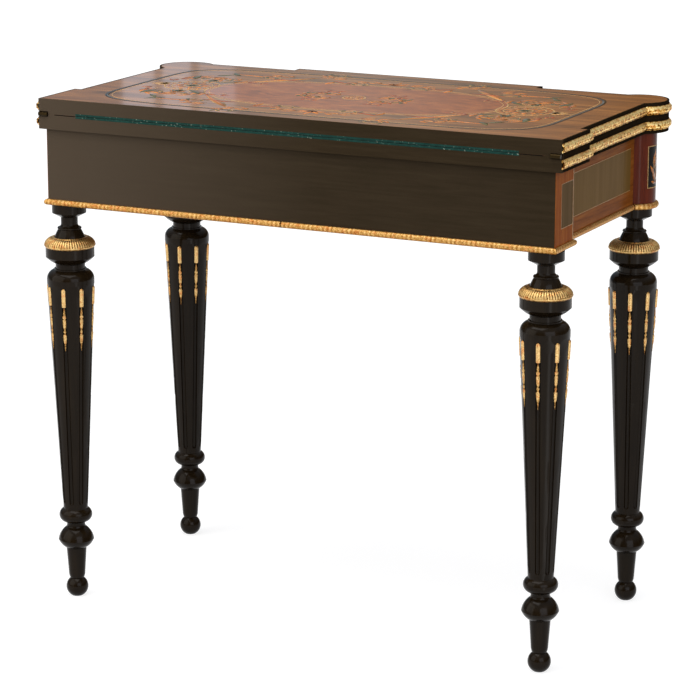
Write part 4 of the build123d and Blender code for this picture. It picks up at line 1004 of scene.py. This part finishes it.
part_of_top("scrolls", quarter_lines + [leaf(129, 159, -48.2, 130, 15, 0)], pale_wood, quarters, 0.08)
part_of_top("rosette_rings", rosette_lines, boxwood, ends, 0.09)
part_of_top("centre_rings", [ring(0, 0, 17, 2.0), ring(0, 0, 6, 1.4)], boxwood, top_surface, 0.1)

rosette_petals = petals(272, 0, 13, 30, 8.5, 10) + petals(272, 0, 32.5, 41, 5, 18, 10)
part_of_top("rosette_petals", rosette_petals, orange_wood, ends, 0.1)
part_of_top("rosette_eyes", petals(272, 0, 1, 10, 5, 8), green_wood, ends, 0.1)
part_of_top("centre_petals", petals(0, 0, 7, 16, 6, 8), orange_wood, top_surface, 0.11)
orange_leaves = [leaf(131, 157, -48.2, 126, 9.5, 0), leaf(98, 132, -90, 32, 11),
                 leaf(179, 113, 26, 96, 8, -0.25)]
green_leaves = [leaf(222, 70, -52, 44, 8, 0.4), leaf(300, 60, 62, 38, 11, 0.6),
                leaf(286, 104, 150, 30, 9, -0.8), leaf(252, 118, 30, 34, 9, 0.8)]
red_leaves = [leaf(136, 112, 8, 60, 7, -0.3), leaf(60, 118, 14, 46, 7, 0.4)]
for curl in (volute, corner_volute):
    orange_leaves += sprigs(curl, 0.05, 0.5, 4, 30, 8.5)
    green_leaves += sprigs(curl, 0.56, 0.8, 2, 18, 6)
for curl in side_curls:
    orange_leaves += sprigs(curl, 0.06, 0.4, 3, 24, 7)
    green_leaves += sprigs(curl, 0.5, 0.78, 2, 16, 5)
for curl in small_curls:
    red_leaves += sprigs(curl, 0.1, 0.5, 2, 16, 5)
orange_leaves += sprigs(centre_scrolls[0], 0.12, 0.5, 4, 26, 8)
red_leaves += sprigs(centre_scrolls[1], 0.1, 0.6, 3, 17, 5.5)
green_leaves += sprigs(centre_scrolls[0], 0.58, 0.8, 2, 17, 5.5)
part_of_top("orange_leaves", orange_leaves, orange_wood, quarters, 0.1)
part_of_top("green_leaves", green_leaves, green_wood, quarters, 0.11)
part_of_top("red_leaves", red_leaves, red_wood, quarters, 0.12)
fans = [leaf(0, 134, 90 + turn, 34 - abs(turn) / 6, 8.5, turn / 60) for turn in (-62, -31, 0, 31, 62)]
part_of_top("side_fans", fans, orange_wood, long_sides, 0.1)
end_fans = [leaf(314, 0, turn, 30 - abs(turn) / 6, 8, -turn / 60) for turn in (-64, -32, 0, 32, 64)]
part_of_top("end_fans", end_fans, pale_wood, ends, 0.1)

# Gilt bands
# A hollow half round of stamped brass, gilt, is pinned between black lips round three edges of each
# leaf, in mitred lengths. Its close leaf pattern is sharp, brown in the hollows and bright on the crests.
# Its face is painted lighter towards the top, with a painted highlight on the lip, and darker below.
gilt_band = gilt("gilt_stamped_band", "#402006", "#dca244", "#ffeaa6", 0.5, 2.8, 2.778)
block_half_width, side_half_width, block_run, leaf_depth = 414.0, 403.0, 103.0, 437.5
lobe_x, lobe_run, lobe_radius, breakfront_half_width = 380.0, 388.0, 43.5, 206.0
step_y, lobe_y = back_edge_y - block_run, back_edge_y - lobe_run
recess_y, front_y = back_edge_y - recess_run, back_edge_y - leaf_depth
flare_y = lobe_y + sqrt(lobe_radius**2 - (side_half_width - lobe_x) ** 2)
lobe_recess_x = lobe_x - sqrt(lobe_radius**2 - (recess_y - lobe_y) ** 2)
leaf_edge = [
    ((block_half_width, back_edge_y), (block_half_width, step_y), None),
    ((block_half_width, step_y), (side_half_width, step_y), None),
    ((side_half_width, step_y), (side_half_width, flare_y), None),
    ((side_half_width, flare_y), (lobe_recess_x, recess_y), (lobe_x, lobe_y)),
    ((lobe_recess_x, recess_y), (breakfront_half_width, recess_y), None),
    ((breakfront_half_width, recess_y), (breakfront_half_width, front_y), None),
    ((breakfront_half_width, front_y), (half_gap, front_y), None),
]
band_half, band_flange, band_wall, band_reach = 6.25, 1.8, 0.9, 4.5
crown = band_half - band_flange


def band_section():
    """Section of the hollow band, its relief only on the round face."""
    found = []
    bulge = band_reach - band_wall - 0.8
    for k in range(13):
        turn = pi / 2 - pi * k / 12
        out, up = cos(turn), sin(turn)
        found.append((band_wall + bulge * out, crown * up, 1 - 2 * k / 12, (out, up)))
    found += [(band_wall, -band_half, None, (0, 0)), (0.0, -band_half, None, (0, 0))]
    hollow_out, hollow_up = band_reach - band_wall - 0.9, crown - band_wall
    for k in range(7):
        turn = -pi / 2 + pi * k / 6
        found.append((hollow_out * cos(turn), hollow_up * sin(turn), None, (0, 0)))
    return found + [(0.0, band_half, None, (0, 0)), (band_wall, band_half, None, (0, 0))]


def close_leaves(distance, across):
    """Height of the band's pattern: two rows of small leaves that meet along the middle, with veins."""
    row = distance / 6.4 - 0.8 * abs(across) + (0.5 if across > 0 else 0.0)
    blade = max(0.0, sin(pi * (row % 1))) ** 0.6
    veins = 0.5 + 0.5 * cos(distance * 4.1 + across * 9) * cos(distance * 1.7 - across * 6)
    edge = max(0.0, 1 - across ** 4)
    return 0.78 * edge * (0.25 + 0.75 * blade * (0.45 + 0.55 * veins)) * (0.3 + 0.7 * abs(sin(across * 4.2)))


close_leaves.height, close_leaves.base, close_leaves.lip = 0.72, 0.12, 1.0
band_lift, band_step = 11.25, 0.7
for body, prefix, mid in (("lower_top", "lower", fold_z * 1000 - band_lift),
                          ("upper_top", "upper", fold_z * 1000 + band_lift)):
    for side_word, mirrored in (("right", False), ("left", True)):
        piece = run_metal(f"gilt_{prefix}_{side_word}_band", leaf_edge, 0, 3, mid, band_section(),
                          close_leaves, band_step, gilt_band, mirrored)
        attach(piece, body)
        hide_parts(f"{prefix}_{side_word}_band")
    piece = join([run_metal(f"gilt_{prefix}_front_band", leaf_edge, 3, 7, mid, band_section(),
                            close_leaves, band_step, gilt_band, mirrored) for mirrored in (False, True)])
    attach(piece, body)
    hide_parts(f"{prefix}_front_band")

# Baize
# A bed of blue green wool baize is glued into a shallow recess in each leaf, square at the hinge and
# round at its front corners. Its nap is matt and close, stands a little proud, and holds pale lint.
baize_wool = wool("green_baize", "#10302a", "#204a42", 1.2, 0.7)
corner, nap_rise = 40.0, 2.1
for node, body, carrier_node, name in (("lower_baize", "lower_top", "lower_leaf", "baize_lower"),
                                       ("upper_baize", "upper_top", "upper_leaf", "baize_upper")):
    low, high = millimetres(node)
    outline = [(low.x, high.y), (low.x, low.y + corner)]
    for k in range(1, 13):
        turn = pi + pi / 2 * k / 12
        outline.append((low.x + corner + corner * cos(turn), low.y + corner + corner * sin(turn)))
    for k in range(13):
        turn = 1.5 * pi + pi / 2 * k / 12
        outline.append((high.x - corner + corner * cos(turn), low.y + corner + corner * sin(turn)))
    outline.append((high.x, high.y))
    if body == "lower_top":
        high.z += nap_rise
    else:
        low.z -= nap_rise
    piece = soft_slab(name, outline, low.z, high.z, 0.25, baize_wool)
    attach(piece, body)
    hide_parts(node)
    width, length = (high.x - low.x) / 1000, (high.y - low.y) / 1000

# Studio
# A white floor in a plain room, dim and warm at one end, cool at the other and bright overhead. There
# is a broad window light, one light overhead and one to the left, and a far window of three panes.
floor_paint, tree = new_material("pale_floor")
rays = add_node(tree, "ShaderNodeLightPath")
seen = add_node(tree, "ShaderNodeMath", {"operation": "MAXIMUM"},
                {0: rays.outputs["Is Camera Ray"], 1: rays.outputs["Is Glossy Ray"]})
seen = add_node(tree, "ShaderNodeMath", {"operation": "MAXIMUM"},
                {0: seen.outputs[0], 1: rays.outputs["Is Transmission Ray"]})
away = add_node(tree, "ShaderNodeVectorMath", {"operation": "LENGTH"},
                {0: add_node(tree, "ShaderNodeTexCoord").outputs["Object"]})
pale = add_node(tree, "ShaderNodeMapRange",
                {"From Min": 0.8, "From Max": 4.5, "To Min": 0.78, "To Max": 0.95},
                {"Value": away.outputs["Value"]})
# A long patch of window light lies on the floor towards the camera and gives the legs their streak
patch_start, patch_heading, patch_glow = (-0.38, 0.19, 0), (0, 0, radians(134)), 2.2
patch = add_node(tree, "ShaderNodeMapping",
                 {"vector_type": "TEXTURE", "Location": patch_start, "Rotation": patch_heading},
                 {"Vector": add_node(tree, "ShaderNodeTexCoord").outputs["Object"]})
patch = add_node(tree, "ShaderNodeSeparateXYZ", {}, {"Vector": patch.outputs[0]})
spread = add_node(tree, "ShaderNodeMath", {"operation": "DIVIDE"},
                  {0: patch.outputs["Y"], 1: patch.outputs["X"]})
spread = add_node(tree, "ShaderNodeMath", {"operation": "ABSOLUTE"}, {0: spread.outputs[0]})
streak = add_node(tree, "ShaderNodeMapRange",
                  {"From Min": 0.04, "From Max": 0.13, "To Min": patch_glow, "To Max": 0.0},
                  {"Value": spread.outputs[0]})
near = add_node(tree, "ShaderNodeMapRange", {"From Min": 0.15, "From Max": 0.3},
                {"Value": patch.outputs["X"]})
streak = add_node(tree, "ShaderNodeMath", {"operation": "MULTIPLY_ADD"},
                  {0: streak.outputs["Result"], 1: near.outputs["Result"], 2: pale.outputs["Result"]})
glow = add_node(tree, "ShaderNodeMath", {"operation": "MULTIPLY"},
                {0: seen.outputs[0], 1: streak.outputs[0]})
surface = add_node(tree, "ShaderNodeBsdfPrincipled",
                   {"Base Color": (0.35, 0.35, 0.35, 1), "Roughness": 0.9, "Specular IOR Level": 0.1,
                    "Emission Color": (1, 1, 1, 1)}, {"Emission Strength": glow.outputs[0]})
add_node(tree, "ShaderNodeOutputMaterial", {}, {"Surface": surface.outputs[0]})
bpy.ops.mesh.primitive_circle_add(vertices=64, radius=30, fill_type="NGON", location=(0, 0, 0))
floor = bpy.context.object
floor.name = "studio_floor"
floor.data.materials.append(floor_paint)
floor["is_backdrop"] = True

world = bpy.data.worlds.new("studio_room")
scene.world = world
world.use_nodes = True
world.node_tree.nodes.clear()
sky = world.node_tree
heading = add_node(sky, "ShaderNodeTexCoord").outputs["Generated"]
heading = add_node(sky, "ShaderNodeSeparateXYZ", {}, {"Vector": heading})
side = add_node(sky, "ShaderNodeMapRange", {"From Min": 0.34, "From Max": 0.54},
                {"Value": heading.outputs["X"]})
warm_end, bright_middle, cool_end = (0.16, 0.11, 0.07, 1), (0.34, 0.38, 0.37, 1), (0.17, 0.23, 0.28, 1)
wall = add_node(sky, "ShaderNodeValToRGB", {}, {"Fac": side.outputs["Result"]},
                [(0.0, warm_end), (0.45, bright_middle), (1.0, cool_end)])
height = add_node(sky, "ShaderNodeMapRange", {"From Min": 0.22, "From Max": 0.7},
                  {"Value": heading.outputs["Z"]})
shade = add_node(sky, "ShaderNodeMix", {"data_type": "RGBA", 7: (0.62, 0.64, 0.68, 1)},
                 {0: height.outputs["Result"], 6: wall.outputs["Color"]})
room = add_node(sky, "ShaderNodeBackground", {"Strength": 1.0}, {"Color": shade.outputs[2]})
add_node(sky, "ShaderNodeOutputWorld", {}, {"Surface": room.outputs[0]})


def lamp(name, place, aim, size_x, size_y, watts, tint):
    """A rectangular soft light at a place, turned towards a point."""
    light = bpy.data.lights.new(name, "AREA")
    light.shape = "RECTANGLE"
    light.size, light.size_y = size_x, size_y
    light.energy = watts
    light.color = tint
    lamp_object = bpy.data.objects.new(name, light)
    lamp_object.location = place
    lamp_object.rotation_euler = (Vector(aim) - Vector(place)).to_track_quat("-Z", "Y").to_euler()
    lamp_object.visible_camera = False
    scene.collection.objects.link(lamp_object)


lamp("window_light", (-3.2, 2.9, 1.9), (0, 0, 0.5), 3.2, 2.6, 64, (0.86, 0.9, 1.0))
lamp("overhead_light", (0.3, 0.8, 3.4), (0, 0, 0.5), 2.6, 2.2, 65, (1.0, 0.97, 0.93))
lamp("left_light", (1.5, 1.7, 1.3), (0.2, 0.2, 0.6), 2.4, 2.0, 23, (1.0, 0.95, 0.86))
# The far window shows in the polished top. Each pane has a heading in degrees, a width and a power
eye_x, eye_y, pane_distance, pane_height = -1.848, 3.808, 8, 1.35
panes = ((-59.79, 0.088, 0.056), (-60.55, 0.078, 0.05), (-61.35, 0.1, 0.04))
for pane, (bearing, pane_width, watts) in enumerate(panes):
    x = pane_distance * cos(radians(bearing)) + eye_x
    y = pane_distance * sin(radians(bearing)) + eye_y
    lamp(f"far_window_{pane}", (x, y, pane_height), (eye_x, eye_y, pane_height), pane_width, 0.5, watts,
         (0.82, 0.86, 1.0))

# The camera's focal length, direction and place were solved from the table's own straight edges
photo_pixels, focal_pixels, sensor_mm = 700, 2896.27, 36.0
camera_data = bpy.data.cameras.new("photo_camera")
camera_data.sensor_width = sensor_mm
camera_data.lens = focal_pixels / photo_pixels * sensor_mm
camera_data.clip_end = 200.0
camera = bpy.data.objects.new("photo_camera", camera_data)
azimuth, elevation, roll = radians(205.994), radians(13.837), radians(0.071)
backward = Vector((sin(azimuth) * cos(elevation), -cos(azimuth) * cos(elevation), sin(elevation)))
right = (-backward).cross(Vector((0, 0, 1))).normalized()
upward = right.cross(-backward)
right, upward = right * cos(roll) + upward * sin(roll), upward * cos(roll) - right * sin(roll)
camera.matrix_world = Matrix((right, upward, backward)).transposed().to_4x4()
camera.location = (-1.84752, 3.80770, 1.42890)
scene.collection.objects.link(camera)
scene.camera = camera
scene.view_settings.view_transform = "Standard"

low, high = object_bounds()
